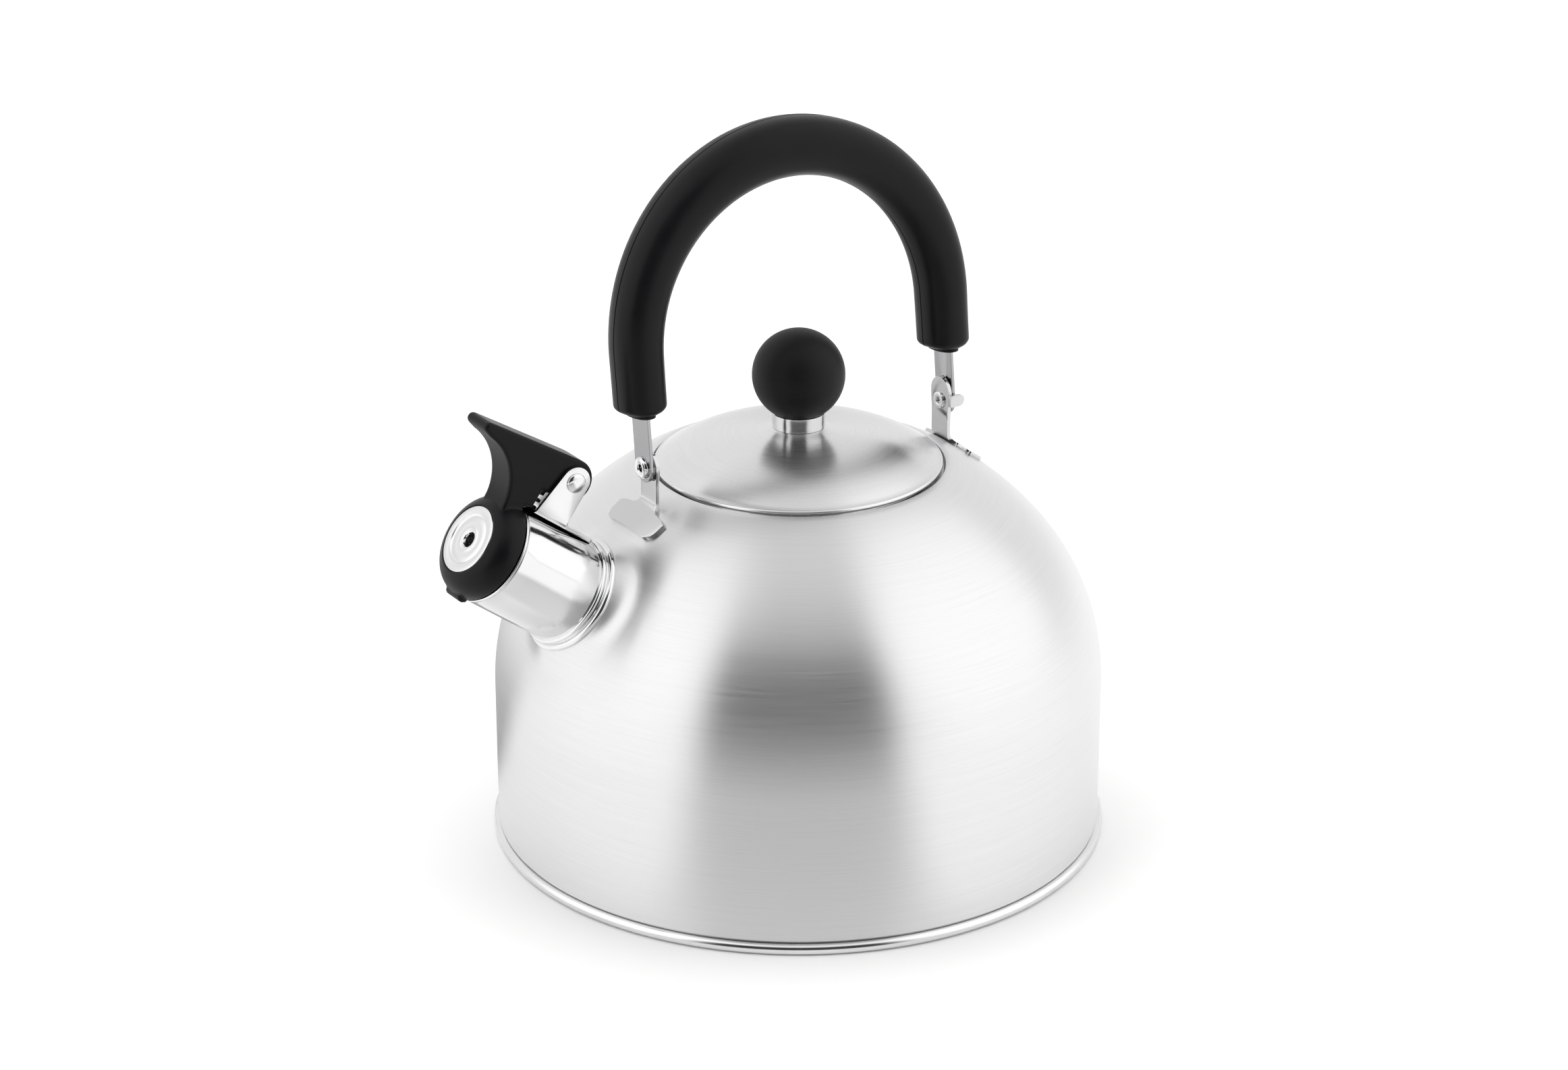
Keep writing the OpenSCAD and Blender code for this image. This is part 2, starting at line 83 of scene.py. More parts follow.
# Spout frame: X up across the spout, Y as the kettle's, Z out along the spout's axis
ON_SPOUT = Matrix.Translation(FACE) @ Matrix(
    ((ACROSS.x, 0, AXIS.x, 0), (0, 1, 0, 0), (ACROSS.z, 0, AXIS.z, 0), (0, 0, 0, 1)))
HINGE = ON_SPOUT.inverted() @ (Vector(joint("whistle_open")["pos_m"]) / MM)
PIVOT = Vector(joint("handle_fold")["pos_m"]) / MM
LEAN = math.radians(-6.5)
# Handle frame: origin between the pivots, Z up the leaning legs
ON_HANDLE = Matrix.Translation(PIVOT) @ Matrix.Rotation(LEAN, 4, "X")

# ---- body sizes ----
BODY_R = box_mm("body_shell")[1].x
RIM_TOP = 3.5
WALL_TOP = 49.5
ARC_R = (71.3, 99.4, 59.2)
ARC_END = (math.radians(39.5), math.radians(56.7))
MOUTH_R = 46.0
SEAT_Z = 118.4
NECK_R = 39.6
TUBE_R = 16.2
COLLAR_FOOT = -43.4
STRAP_X = 54.8


def arc_centres():
    first = Vector((BODY_R - ARC_R[0], WALL_TOP))
    turn = Vector((math.cos(ARC_END[0]), math.sin(ARC_END[0])))
    second = first + turn * (ARC_R[0] - ARC_R[1])
    turn = Vector((math.cos(ARC_END[1]), math.sin(ARC_END[1])))
    return first, second, second + turn * (ARC_R[1] - ARC_R[2])


ARC_C = arc_centres()


def arc(centre, radius, start, end, steps):
    """Points of an arc, with its angles in degrees."""
    turns = [math.radians(start + (end - start) * i / steps) for i in range(steps + 1)]
    return [(centre[0] + radius * math.cos(a), centre[1] + radius * math.sin(a)) for a in turns]


def dome_outline(offset, end_r, spacing=2.0):
    """The dome's outline from the straight wall up to the radius end_r, moved outwards by offset."""
    last = math.acos((end_r - ARC_C[2].x) / (ARC_R[2] + offset))
    turns = (0, *ARC_END, last)
    points = []
    for centre, radius, start, end in zip(ARC_C, ARC_R, turns, turns[1:]):
        steps = round(radius * (end - start) / spacing)
        points += arc(centre, radius + offset, math.degrees(start), math.degrees(end), steps)[bool(points):]
    return points


def dome_part(r, z):
    """Centre and radius of the part of the outline that is nearest to a point."""
    if z <= WALL_TOP:
        return Vector((0, z)), BODY_R
    for centre, radius, end in zip(ARC_C, ARC_R, (*ARC_END, math.pi)):
        if math.atan2(z - centre.y, r - centre.x) <= end:
            return centre, radius


def dome_gap(r, z):
    """How far a point is outside the body's outer surface."""
    centre, radius = dome_part(r, z)
    return math.hypot(r - centre.x, z - centre.y) - radius


def on_dome(r, z, offset):
    """The nearest point to (r, z) that is offset outside the dome."""
    point = Vector((r, z))
    out = (point - dome_part(r, z)[0]).normalized()
    return point + out * (offset - dome_gap(r, z))


def dome_height(x, y):
    """Height of the dome's outer surface above a point of the floor."""
    r = math.hypot(x, y)
    for centre, radius, end in zip(ARC_C, ARC_R, (*ARC_END, math.pi)):
        if r - centre.x >= radius * math.cos(end):
            return centre.y + math.sqrt(radius ** 2 - (r - centre.x) ** 2)


# ---- mesh helpers ----
def moved(bm, matrix):
    bmesh.ops.transform(bm, matrix=matrix, verts=bm.verts)
    return bm


def clean(bm):
    """Merges the vertices that meet, and turns the faces outwards."""
    bmesh.ops.remove_doubles(bm, verts=bm.verts, dist=0.002)
    bmesh.ops.recalc_face_normals(bm, faces=bm.faces)
    return bm


def new_verts(geom):
    return [v for v in geom if isinstance(v, bmesh.types.BMVert)]


def new_edges(geom):
    return [e for e in geom if isinstance(e, bmesh.types.BMEdge)]


def wire(bm, points, closed=True):
    """Adds a line through the points and returns its vertices and edges."""
    verts = [bm.verts.new(p) for p in points]
    pairs = list(zip(verts, verts[1:]))
    if closed:
        pairs.append((verts[-1], verts[0]))
    return verts, [bm.edges.new(pair) for pair in pairs]


def lathe(outline, steps, closed=True):
    """Turns an outline of (radius, height) about Z. An open outline ends on the axis or is a sheet."""
    bm = bmesh.new()
    verts, edges = wire(bm, [(r, 0, z) for r, z in outline], closed)
    bmesh.ops.spin(bm, geom=verts + edges, cent=(0, 0, 0), axis=(0, 0, 1), dvec=(0, 0, 0),
                   angle=math.tau, steps=steps, use_merge=True, use_duplicate=False)
    return clean(bm)


def extruded(points, along):
    """A solid from a flat closed outline, pushed out along a vector."""
    bm = bmesh.new()
    _, edges = wire(bm, points)
    face = bmesh.ops.edgeloop_fill(bm, edges=edges)["faces"]
    top = bmesh.ops.extrude_face_region(bm, geom=face)["geom"]
    bmesh.ops.translate(bm, vec=along, verts=new_verts(top))
    return clean(bm)


def block(left, right, low, high):
    """The outline of a rectangle."""
    return [(left, low), (right, low), (right, high), (left, high)]


def plate(outline, width, middle=0.0):
    """A solid from a side view drawn as (x, z), width thick about the plane y = middle."""
    return extruded([(x, middle - width / 2, z) for x, z in outline], (0, width, 0))


def bevel_sharp(bm, width, segments=2, angle=35):
    """Rounds every edge that is sharper than the angle."""
    limit = math.radians(angle)
    edges = [e for e in bm.edges if e.is_manifold and e.calc_face_angle(0) > limit]
    bmesh.ops.bevel(bm, geom=edges, offset=width, offset_type="OFFSET", affect="EDGES",
                    segments=segments, profile=0.5, material=-1, clamp_overlap=True)
    return bm


def join(*meshes):
    """One bmesh holding several."""
    whole = meshes[0]
    for bm in meshes[1:]:
        holder = bpy.data.meshes.new("holder")
        bm.to_mesh(holder)
        bm.free()
        whole.from_mesh(holder)
        bpy.data.meshes.remove(holder)
    return whole


def as_object(name, bm):
    mesh = bpy.data.meshes.new(name)
    bm.to_mesh(mesh)
    bm.free()
    piece = bpy.data.objects.new(name, mesh)
    bpy.context.scene.collection.objects.link(piece)
    return piece


def with_modifiers(bm, *modifiers):
    """The mesh after some modifiers, each given as (type, settings)."""
    piece = as_object("work", bm)
    for kind, settings in modifiers:
        modifier = piece.modifiers.new(kind.lower(), kind)
        for key, value in settings.items():
            setattr(modifier, key, value)
    bpy.context.view_layer.update()
    result = bmesh.new()
    result.from_mesh(bpy.data.meshes.new_from_object(
        piece.evaluated_get(bpy.context.evaluated_depsgraph_get())))
    bpy.data.objects.remove(piece)
    return result


def boolean(bm, tool, operation="DIFFERENCE"):
    """Cuts a mesh with another, or joins or intersects the two."""
    other = as_object("tool", tool)
    result = with_modifiers(bm, ("BOOLEAN", {
        "object": other, "operation": operation, "solver": "EXACT"}))
    bpy.data.objects.remove(other)
    return result


def make_piece(name, bm, slot, body, replaces, matrix=Matrix.Identity(4), crease=32):
    """Turns a mesh drawn in millimetres into a finished piece, which stands for some CAD nodes."""
    moved(bm, Matrix.Scale(MM, 4) @ matrix)
    limit = math.radians(crease)
    for face in bm.faces:
        face.smooth = True
    for edge in bm.edges:
        edge.smooth = edge.is_manifold and edge.calc_face_angle(0) < limit
    piece = as_object(name, bm)
    piece.data.materials.append(FINISH[slot])
    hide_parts(*replaces)
    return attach(piece, body)


# ---- finishes ----
class Nodes:
    """Short ways to add shader nodes to a tree."""

    def __init__(self, owner):
        owner.use_nodes = True
        self.tree = owner.node_tree

    def add(self, kind, *inputs, **settings):
        """Adds a node; each input is a value or another node's output."""
        node = self.tree.nodes.new(kind)
        for key, value in settings.items():
            setattr(node, key, value)
        for i, value in enumerate(inputs):
            if isinstance(value, bpy.types.NodeSocket):
                self.tree.links.new(value, node.inputs[i])
            elif value is not None:
                node.inputs[i].default_value = value
        return node

    def math(self, operation, *inputs):
        return self.add("ShaderNodeMath", *inputs, operation=operation).outputs[0]

    def vector(self, operation, *inputs):
        return self.add("ShaderNodeVectorMath", *inputs, operation=operation).outputs

    def joined(self, *inputs):
        """A vector made of three values."""
        return self.add("ShaderNodeCombineXYZ", *inputs).outputs[0]

    def split(self, vector):
        return self.add("ShaderNodeSeparateXYZ", vector).outputs

    def spread(self, value, low, high, start=0.3, end=0.7, **settings):
        """Maps a value from start..end to low..high."""
        return self.add("ShaderNodeMapRange", value, start, end, low, high, **settings).outputs[0]


class Finish(Nodes):
    """A node material in the making, with its Principled shader."""

    def __init__(self, name, colour, metallic=0.0, roughness=0.5, **sockets):
        self.name = name
        self.material = bpy.data.materials.new(name)
        super().__init__(self.material)
        self.shader = self.tree.nodes["Principled BSDF"]
        self.shader.inputs["Base Color"].default_value = (*colour[:3], 1)
        self.shader.inputs["Metallic"].default_value = metallic
        self.shader.inputs["Roughness"].default_value = roughness
        for key, value in sockets.items():
            self.shader.inputs[key.replace("_", " ").title().replace("Ior", "IOR")].default_value = value
        self.place = self.add("ShaderNodeTexCoord").outputs["Object"]

    def scaled(self, scale):
        """The object's place with each axis scaled."""
        return self.add("ShaderNodeMapping", self.place, None, None, scale).outputs[0]

    def noise(self, source, scale=1.0, detail=2.0, roughness=0.5):
        node = self.add("ShaderNodeTexNoise", source)
        node.inputs["Scale"].default_value = scale
        node.inputs["Detail"].default_value = detail
        node.inputs["Roughness"].default_value = roughness
        return node.outputs["Fac"]

    def tint(self, value, dark, light):
        """A colour between two, chosen by a value from 0 to 1."""
        node = self.add("ShaderNodeMix", data_type="RGBA")
        self.tree.links.new(value, node.inputs[0])
        node.inputs[6].default_value = (*dark, 1)
        node.inputs[7].default_value = (*light, 1)
        return node.outputs[2]

    def link(self, value, socket):
        self.tree.links.new(value, self.shader.inputs[socket])

    def bump(self, height, depth, strength=1.0):
        """Raises the surface by a height; the depth is in metres."""
        bump = self.add("ShaderNodeBump")
        bump.inputs["Strength"].default_value = strength
        bump.inputs["Distance"].default_value = depth
        self.tree.links.new(height, bump.inputs["Height"])
        self.link(bump.outputs[0], "Normal")

    def radius(self):
        """Distance from the Z axis."""
        x, y, _ = self.split(self.place)
        return self.vector("LENGTH", self.joined(x, y, 0.0))["Value"]

    def lines(self, run, along, across):
        """A noise's coordinates for lines round the Z axis: their scales along and across them."""
        x, y, _ = self.split(self.place)
        return self.joined(self.math("MULTIPLY", x, along), self.math("MULTIPLY", y, along),
                           self.math("MULTIPLY", run, across))


def shades(colour, *factors):
    return [tuple(min(1, c * factor) for c in colour) for factor in factors]


def brushed_round(finish, run, base, low, high, fine=6200.0, depth=0.0000006):
    """Fine scratches that run round the Z axis, thin along the run, and a gloss that follows them."""
    scratch = finish.noise(finish.lines(run, 38.0, fine), detail=3.0, roughness=0.65)
    band = finish.noise(finish.lines(run, 14.0, fine / 9), detail=2.0)
    mixed = finish.math("ADD", finish.math("MULTIPLY", scratch, 0.85),
                        finish.math("MULTIPLY", band, 0.15))
    finish.link(finish.spread(mixed, low, high), "Roughness")
    share = finish.spread(mixed, 0.0, 1.0, 0.36, 0.64)
    finish.link(finish.tint(share, *shades(base, 0.96, 1.03)), "Base Color")
    finish.bump(scratch, depth)
    round_z = finish.vector("CROSS_PRODUCT", (0, 0, 1), finish.place)[0]
    finish.link(finish.vector("NORMALIZE", round_z)[0], "Tangent")
    finish.shader.inputs["Anisotropic Rotation"].default_value = 0.25
    return finish


def satin_body(look):
    """The body's brushed steel, with scratches that follow the wall and then the dome."""
    finish = Finish("satin_steel", look.steel, 1.0, look.satin, anisotropic=0.9)
    rise = finish.math("SUBTRACT", finish.split(finish.place)[2], WALL_TOP * MM)
    out = finish.math("SUBTRACT", finish.radius(), ARC_C[0].x * MM)
    turn = finish.math("ARCTAN2", finish.math("MAXIMUM", rise, 0.0), finish.math("MAXIMUM", out, 0.004))
    run = finish.math("ADD", finish.math("MULTIPLY", turn, ARC_R[0] * MM),
                      finish.math("MINIMUM", rise, 0.0))
    return brushed_round(finish, run, look.steel, look.satin - 0.03, look.satin + 0.04)


def turned_lid(look):
    """The lid's brushed steel, with finer scratches that follow its slope."""
    finish = Finish("lid_steel", look.steel, 1.0, look.satin, anisotropic=0.82)
    height = finish.split(finish.place)[2]
    run = finish.math("SUBTRACT", finish.radius(), finish.math("MULTIPLY", height, 0.8))
    return brushed_round(finish, run, look.steel, look.satin - 0.05, look.satin)


def turned_steel(name, colour, roughness, fine=2600.0):
    """Plain steel with turning marks round the Z axis."""
    finish = Finish(name, colour, 1.0, roughness, anisotropic=0.4)
    return brushed_round(finish, finish.radius(), colour, roughness - 0.05, roughness + 0.06, fine,
                         0.000003)


def polished(name, colour, roughness, smudge):
    """Polished steel with faint smudges and hairlines."""
    finish = Finish(name, colour, 1.0, roughness)
    smears = finish.noise(finish.scaled((60, 60, 60)), detail=4.0)
    hairs = finish.noise(finish.scaled((220, 1900, 220)), detail=2.0)
    mixed = finish.math("MULTIPLY", smears, hairs)
    finish.link(finish.spread(mixed, roughness, roughness + smudge, 0.15, 0.4), "Roughness")
    finish.link(finish.tint(finish.spread(smears, 0.0, 1.0), *shades(colour, 0.96, 1)), "Base Color")
    finish.bump(smears, 0.00001, 0.25)
    return finish


def moulded(name, colour, roughness, grain, depth, gloss):
    """Matte moulded plastic with a fine grain and faint rub marks."""
    finish = Finish(name, colour, 0.0, roughness, specular_ior_level=gloss)
    fine = finish.noise(finish.place, grain, 3.0, 0.6)
    broad = finish.noise(finish.place, 70.0, 3.0)
    finish.link(finish.tint(finish.spread(broad, 0.0, 1.0), *shades(colour, 0.8, 1.25)), "Base Color")
    rub = finish.math("ADD", finish.math("MULTIPLY", broad, 0.6), finish.math("MULTIPLY", fine, 0.4))
    finish.link(finish.spread(rub, roughness - 0.06, roughness + 0.08), "Roughness")
    finish.bump(fine, depth)
    return finish


def make_finishes(look):
    """The material of every slot."""
    finishes = (
        satin_body(look),
        turned_lid(look),
        turned_steel("rim_steel", look.polish, 0.14, 900.0),
        turned_steel("base_steel", look.steel, 0.3),
        turned_steel("disc_core", (0.8, 0.8, 0.81), 0.4),
        polished("mirror_steel", look.polish, look.mirror, 0.04),
        polished("bracket_steel", (0.62, 0.62, 0.63), look.mirror, 0.08),
        polished("strap_steel", (0.42, 0.42, 0.43), look.mirror + 0.08, 0.08),
        polished("inner_steel", look.steel, 0.22, 0.12),
        polished("spring_wire", (0.55, 0.55, 0.57), 0.25, 0.1),
        moulded("cap_plastic", look.plastic, 0.36, 2600.0, 0.00001, 0.17),
        moulded("grip_plastic", look.plastic, 0.36, 2200.0, 0.00001, 0.17),
        moulded("knob_plastic", look.plastic, 0.5, 2000.0, 0.00004, 0.2))
    return {finish.name: finish.material for finish in finishes}


FINISH = {}


# ---- settings ----
class KettleShape(bpy.types.PropertyGroup):
    wall: FloatProperty(name="Sheet", description="Thickness of the body's steel sheet",
                        default=0.0008, min=0.0005, max=0.0012, unit="LENGTH")
    flare: FloatProperty(name="Flare", description="Radius where the spout's drawn foot meets the dome",
                         default=0.0262, min=0.022, max=0.03, unit="LENGTH")
    knob: FloatProperty(name="Knob", description="Radius of the ball knob",
                        default=0.0143, min=0.012, max=0.0143, unit="LENGTH")
    turns: IntProperty(name="Turning steps", description="Steps in one turn of the large turned pieces",
                       default=288, min=96, max=320)


class KettleLook(bpy.types.PropertyGroup):
    steel: FloatVectorProperty(name="Steel", description="Colour of the satin steel",
                               default=(0.77, 0.77, 0.775), subtype="COLOR", min=0, max=1)
    polish: FloatVectorProperty(name="Polished steel", description="Colour of the polished steel",
                                default=(0.8, 0.8, 0.805), subtype="COLOR", min=0, max=1)
    plastic: FloatVectorProperty(name="Plastic", description="Colour of the black mouldings",
                                 default=(0.004, 0.004, 0.005), subtype="COLOR", min=0, max=1)
    satin: FloatProperty(name="Satin", description="Roughness of the brushed steel",
                         default=0.31, min=0.15, max=0.5, subtype="FACTOR")
    mirror: FloatProperty(name="Mirror", description="Roughness of the polished steel",
                          default=0.08, min=0.0, max=0.2, subtype="FACTOR")


def spout_place(co):
    """A vertex's place in the spout's frame, as distance from the axis, angle and distance along it."""
    local = ON_SPOUT.inverted() @ co
    return math.hypot(local.x, local.y), math.atan2(local.y, local.x), local.z


def near_spout(co, reach):
    """Whether a vertex is on the spout's side of the dome and within a reach of its axis."""
    rho, _, along = spout_place(co)
    return rho < reach and -75 < along < -20


def dome_under(rho, angle):
    """Distance along the spout's axis of the dome's surface, at a place in the spout's frame."""
    low, high = -70.0, -30.0
    for _ in range(26):
        middle = (low + high) / 2
        co = ON_SPOUT @ Vector((rho * math.cos(angle), rho * math.sin(angle), middle))
        if dome_gap(math.hypot(co.x, co.y), co.z) > 0:
            high = middle
        else:
            low = middle
    return (low + high) / 2


FLARE_IN = 18.4
FLARE_TOP = COLLAR_FOOT - 0.15


def draw_out_flare(bm, flare_r, steps=72):
    """Lifts the sheet round the spout into a smooth foot for its collar."""
    lifts = [FLARE_TOP - dome_under(FLARE_IN, math.tau * i / steps) for i in range(steps + 1)]
    for v in bm.verts:
        if not near_spout(v.co, flare_r):
            continue
        rho, angle, _ = spout_place(v.co)
        at = (angle % math.tau) / math.tau * steps
        i = min(int(at), steps - 1)
        lift = lifts[i] + (lifts[i + 1] - lifts[i]) * (at - i)
        share = (flare_r - rho) / (flare_r - FLARE_IN)
        v.co += AXIS * lift * min(share, 1.04) ** 2.3


class KETTLE_OT_body(bpy.types.Operator):
    """Make the drawn steel body with its lid seat and the flared foot of the spout"""
    bl_idname = "kettle.body"
    bl_label = "Body"

    def execute(self, context):
        shape = context.scene.kettle_shape
        wall = shape.wall / MM
        foot = RIM_TOP + 0.4
        straight = [(BODY_R, z) for z in (foot + 0.3, 10, 16, 22, 28, 34, 40, 45)]
        edge = dome_outline(0, MOUTH_R)
        seat_in = MOUTH_R - wall
        outline = [(BODY_R - wall, foot), (BODY_R - 0.3, foot)] + straight + edge
        outline += arc((MOUTH_R - 0.42, edge[-1][1] - 0.35), 0.38, 65, 180, 5)
        outline += [(seat_in, SEAT_Z + 0.5), (seat_in - 0.5, SEAT_Z), (NECK_R + 2 * wall, SEAT_Z)]
        outline += arc((NECK_R + 1.6, SEAT_Z - 1.6), 1.6, 90, 180, 5)
        outline += [(NECK_R, SEAT_Z - 6.4), (NECK_R + wall, SEAT_Z - 6.4)]
        outline += arc((NECK_R + 1.6, SEAT_Z - 1.6), 0.8, 180, 90, 4)
        outline += [(seat_in, SEAT_Z - wall)]
        outline += dome_outline(-wall, MOUTH_R + 0.2)[::-1]
        outline += [(BODY_R - wall, z) for z in (45, 34, 22, 10)]
        bm = lathe(outline, shape.turns)
        reach = shape.flare / MM + 6
        for _ in range(2):
            near = [e for e in bm.edges if all(near_spout(v.co, reach) for v in e.verts)]
            bmesh.ops.subdivide_edges(bm, edges=near, cuts=1, use_grid_fill=True)
            for v in bm.verts:
                if near_spout(v.co, reach + 3):
                    r = math.hypot(v.co.x, v.co.y)
                    depth = 0 if dome_gap(r, v.co.z) > -wall / 2 else -wall
                    to = on_dome(r, v.co.z, depth)
                    v.co = Vector((v.co.x * to.x / r, v.co.y * to.x / r, to.y))
        draw_out_flare(bm, shape.flare / MM)
        hole_r = TUBE_R + 0.05
        cutter = lathe([(0, -75), (hole_r, -75), (hole_r, -30), (0, -30)], 128, closed=False)
        make_piece("body_skin", boolean(bm, moved(cutter, ON_SPOUT)), "satin_steel", "kettle",
                   ("body_shell", "spout_boss"))
        return {"FINISHED"}


class KETTLE_OT_base(bpy.types.Operator):
    """Make the floor with its rolled rim, and the cap of the heat-spreading disc"""
    bl_idname = "kettle.base"
    bl_label = "Base"

    def execute(self, context):
        turns = context.scene.kettle_shape.turns
        rim_r = box_mm("base_pan")[1].x
        disc_r = box_mm("base_cap")[1].x
        bead = RIM_TOP / 2
        floor_z = 3.4
        outline = [(0, floor_z), (disc_r + 4, floor_z)]
        outline += arc((disc_r + 5, floor_z - 1.4), 1.4, 90, 30, 4)
        outline += [(rim_r - 6, bead + 0.1), (rim_r - 4.2, bead - 0.3)]
        outline += arc((rim_r - bead, bead), bead, 205, 450, 22)
        outline += [(rim_r - 2.2, RIM_TOP), (BODY_R - 0.9, RIM_TOP + 0.3), (BODY_R - 0.9, 5.4),
                    (BODY_R - 1.6, 5.4), (BODY_R - 2.4, 3.6), (rim_r - 5.4, bead + 0.9),
                    (disc_r + 6.4, floor_z + 0.8), (0, floor_z + 0.8)]
        make_piece("base_pan_skin", lathe(outline, turns, closed=False), "rim_steel", "kettle",
                   ("base_pan",))
        cap = [(0, 0.12), (disc_r * 0.3, 0.1), (disc_r - 1.2, 0)]
        cap += arc((disc_r - 1.2, 1.2), 1.2, 270, 360, 8)
        cap += [(disc_r, floor_z), (disc_r - 0.7, floor_z), (disc_r - 0.8, 0.6), (0, 0.6)]
        make_piece("base_cap_skin", lathe(cap, turns, closed=False), "base_steel", "kettle",
                   ("base_cap",))
        return {"FINISHED"}


class KETTLE_OT_spout(bpy.types.Operator):
    """Make the polished spout tube and its collar of two beads"""
    bl_idname = "kettle.spout"
    bl_label = "Spout"

    def execute(self, context):
        end, mouth = -48.5, -8.6
        inner = TUBE_R - context.scene.kettle_shape.wall / MM
        tube = [(TUBE_R, end)] + [(TUBE_R, end + (mouth - 1.4 - end) * i / 8) for i in range(1, 9)]
        tube += arc((TUBE_R - 0.2, mouth - 0.45), 0.42, -45, 160, 10)
        tube += [(inner, mouth - 0.6), (inner, end)]
        make_piece("spout_tube_skin", lathe(tube, 192), "mirror_steel", "kettle", ("spout_tube",),
                   ON_SPOUT)
        low = TUBE_R - 0.02
        beads = [(low, COLLAR_FOOT - 0.5), (TUBE_R + 1.9, COLLAR_FOOT - 0.5)]
        beads += arc((TUBE_R + 1.15, COLLAR_FOOT + 0.85), 1.25, -62, 105, 14)
        beads += arc((TUBE_R + 0.75, COLLAR_FOOT + 2.55), 0.28, 300, 180, 4)[1:-1]
        beads += arc((TUBE_R + 0.3, COLLAR_FOOT + 3.45), 0.82, -40, 100, 10)
        beads += [(low, COLLAR_FOOT + 4.5)]
        make_piece("spout_collar_skin", lathe(beads, 192), "mirror_steel", "kettle", ("spout_collar",),
                   ON_SPOUT)
        return {"FINISHED"}


EAR_IN = 6.3
EAR_T = 1.0
SADDLE = TUBE_R + 0.05


def ear_outline():
    """Side view of one hinge ear, from its front foot on the saddle plate over its round head."""
    centre = Vector((HINGE.x, HINGE.z))
    radius = 4.8
    foot = Vector((SADDLE, -11.3))
    away = foot - centre
    start = math.degrees(math.atan2(away.y, away.x) - math.acos(radius / away.length))
    return [tuple(foot)] + arc(centre, radius, start, -90, 24)


class KETTLE_OT_whistle_hinge(bpy.types.Operator):
    """Make the pressed bracket that carries the whistle cap, and its pin"""
    bl_idname = "kettle.whistle_hinge"
    bl_label = "Whistle hinge"

    def execute(self, context):
        outer = EAR_IN + EAR_T
        top = SADDLE + EAR_T
        above, fold, inner_fold = 38, 1.3, 0.3
        # Cross-section of the folded sheet, drawn as (across, sideways)
        half = [(SADDLE, 0)] + arc((SADDLE + fold, outer - fold), fold, 180, 90, 6)
        half += [(above, outer), (above, EAR_IN)]
        half += arc((top + inner_fold, EAR_IN - inner_fold), inner_fold, 90, 180, 3) + [(top, 0)]
        section = half + [(n, -y) for n, y in half[-2:0:-1]]
        sheet = extruded([(n, y, -40) for n, y in section], (0, 0, 36))
        foot_r, front, back = 2.2, -11.3, -39
        side = ear_outline() + arc((top + foot_r, -25.7), foot_r, 90, 180, 6)
        side += [(top, back), (SADDLE - 1, back), (SADDLE - 1, front)]
        bracket = boolean(sheet, plate(side, 30), "INTERSECT")
        # Plan of the bracket, drawn as (along, sideways): straight at the ears, then a narrow tongue
        tongue = [(front, outer), (-23.2, outer), (-24.4, outer - 0.9), (-30, 4.7), (-36.4, 3.5)]
        tongue += [(-37.9, 2.4), (-38.4, 1.0)]
        plan = tongue + [(s, -y) for s, y in tongue[::-1]]
        cut = extruded([(SADDLE - 2, y, s) for s, y in plan], (24, 0, 0))
        bracket = boolean(bracket, cut, "INTERSECT")
        bmesh.ops.dissolve_limit(bracket, angle_limit=math.radians(1), verts=bracket.verts,
                                 edges=bracket.edges)
        bevel_sharp(bracket, 0.14, 2, 40)
        make_piece("hinge_bracket_skin", bracket, "mirror_steel", "kettle", ("hinge_bracket",), ON_SPOUT)
        face_y = outer + 0.02
        head_r, pin_r, edge, dome = 3.05, 1.5, 0.35, 0.95
        head = [(0, face_y + edge + dome)]
        for i in range(1, 10):
            a = math.radians(10 * i)
            head.append((head_r * math.sin(a), face_y + edge + dome * math.cos(a)))
        head += [(head_r, face_y + 0.1), (head_r - 0.1, face_y), (pin_r, face_y), (pin_r, 0)]
        pin = lathe(head + [(r, -z) for r, z in head[-2::-1]], 64, closed=False)
        at = ON_SPOUT @ Matrix.Translation((HINGE.x, 0, HINGE.z)) @ Matrix.Rotation(math.pi / 2, 4, "X")
        make_piece("hinge_pin_skin", pin, "mirror_steel", "kettle", ("hinge_pin",), at)
        return {"FINISHED"}


CAP_R = 16.3
LEVER_W = 12.0


def lever_outline():
    """Side view of the thumb lever and its neck, as (across, along) in the spout's frame."""
    tip = (31.7, 16.4)
    knuckle = (HINGE.x, HINGE.z)
    points = arc(tip, 1.7, 10, 170, 8)
    points += arc((11.8, 16.3), 17.7, -6, -80, 22)
    points += [(11, -1.4), (11, -7.9), (16.9, -7.9), (16.9, -10.6), (23.3, -10.6)]
    points += arc(knuckle, 6.6, 180, 355, 22)
    return points + [(36.4, -16.6)]


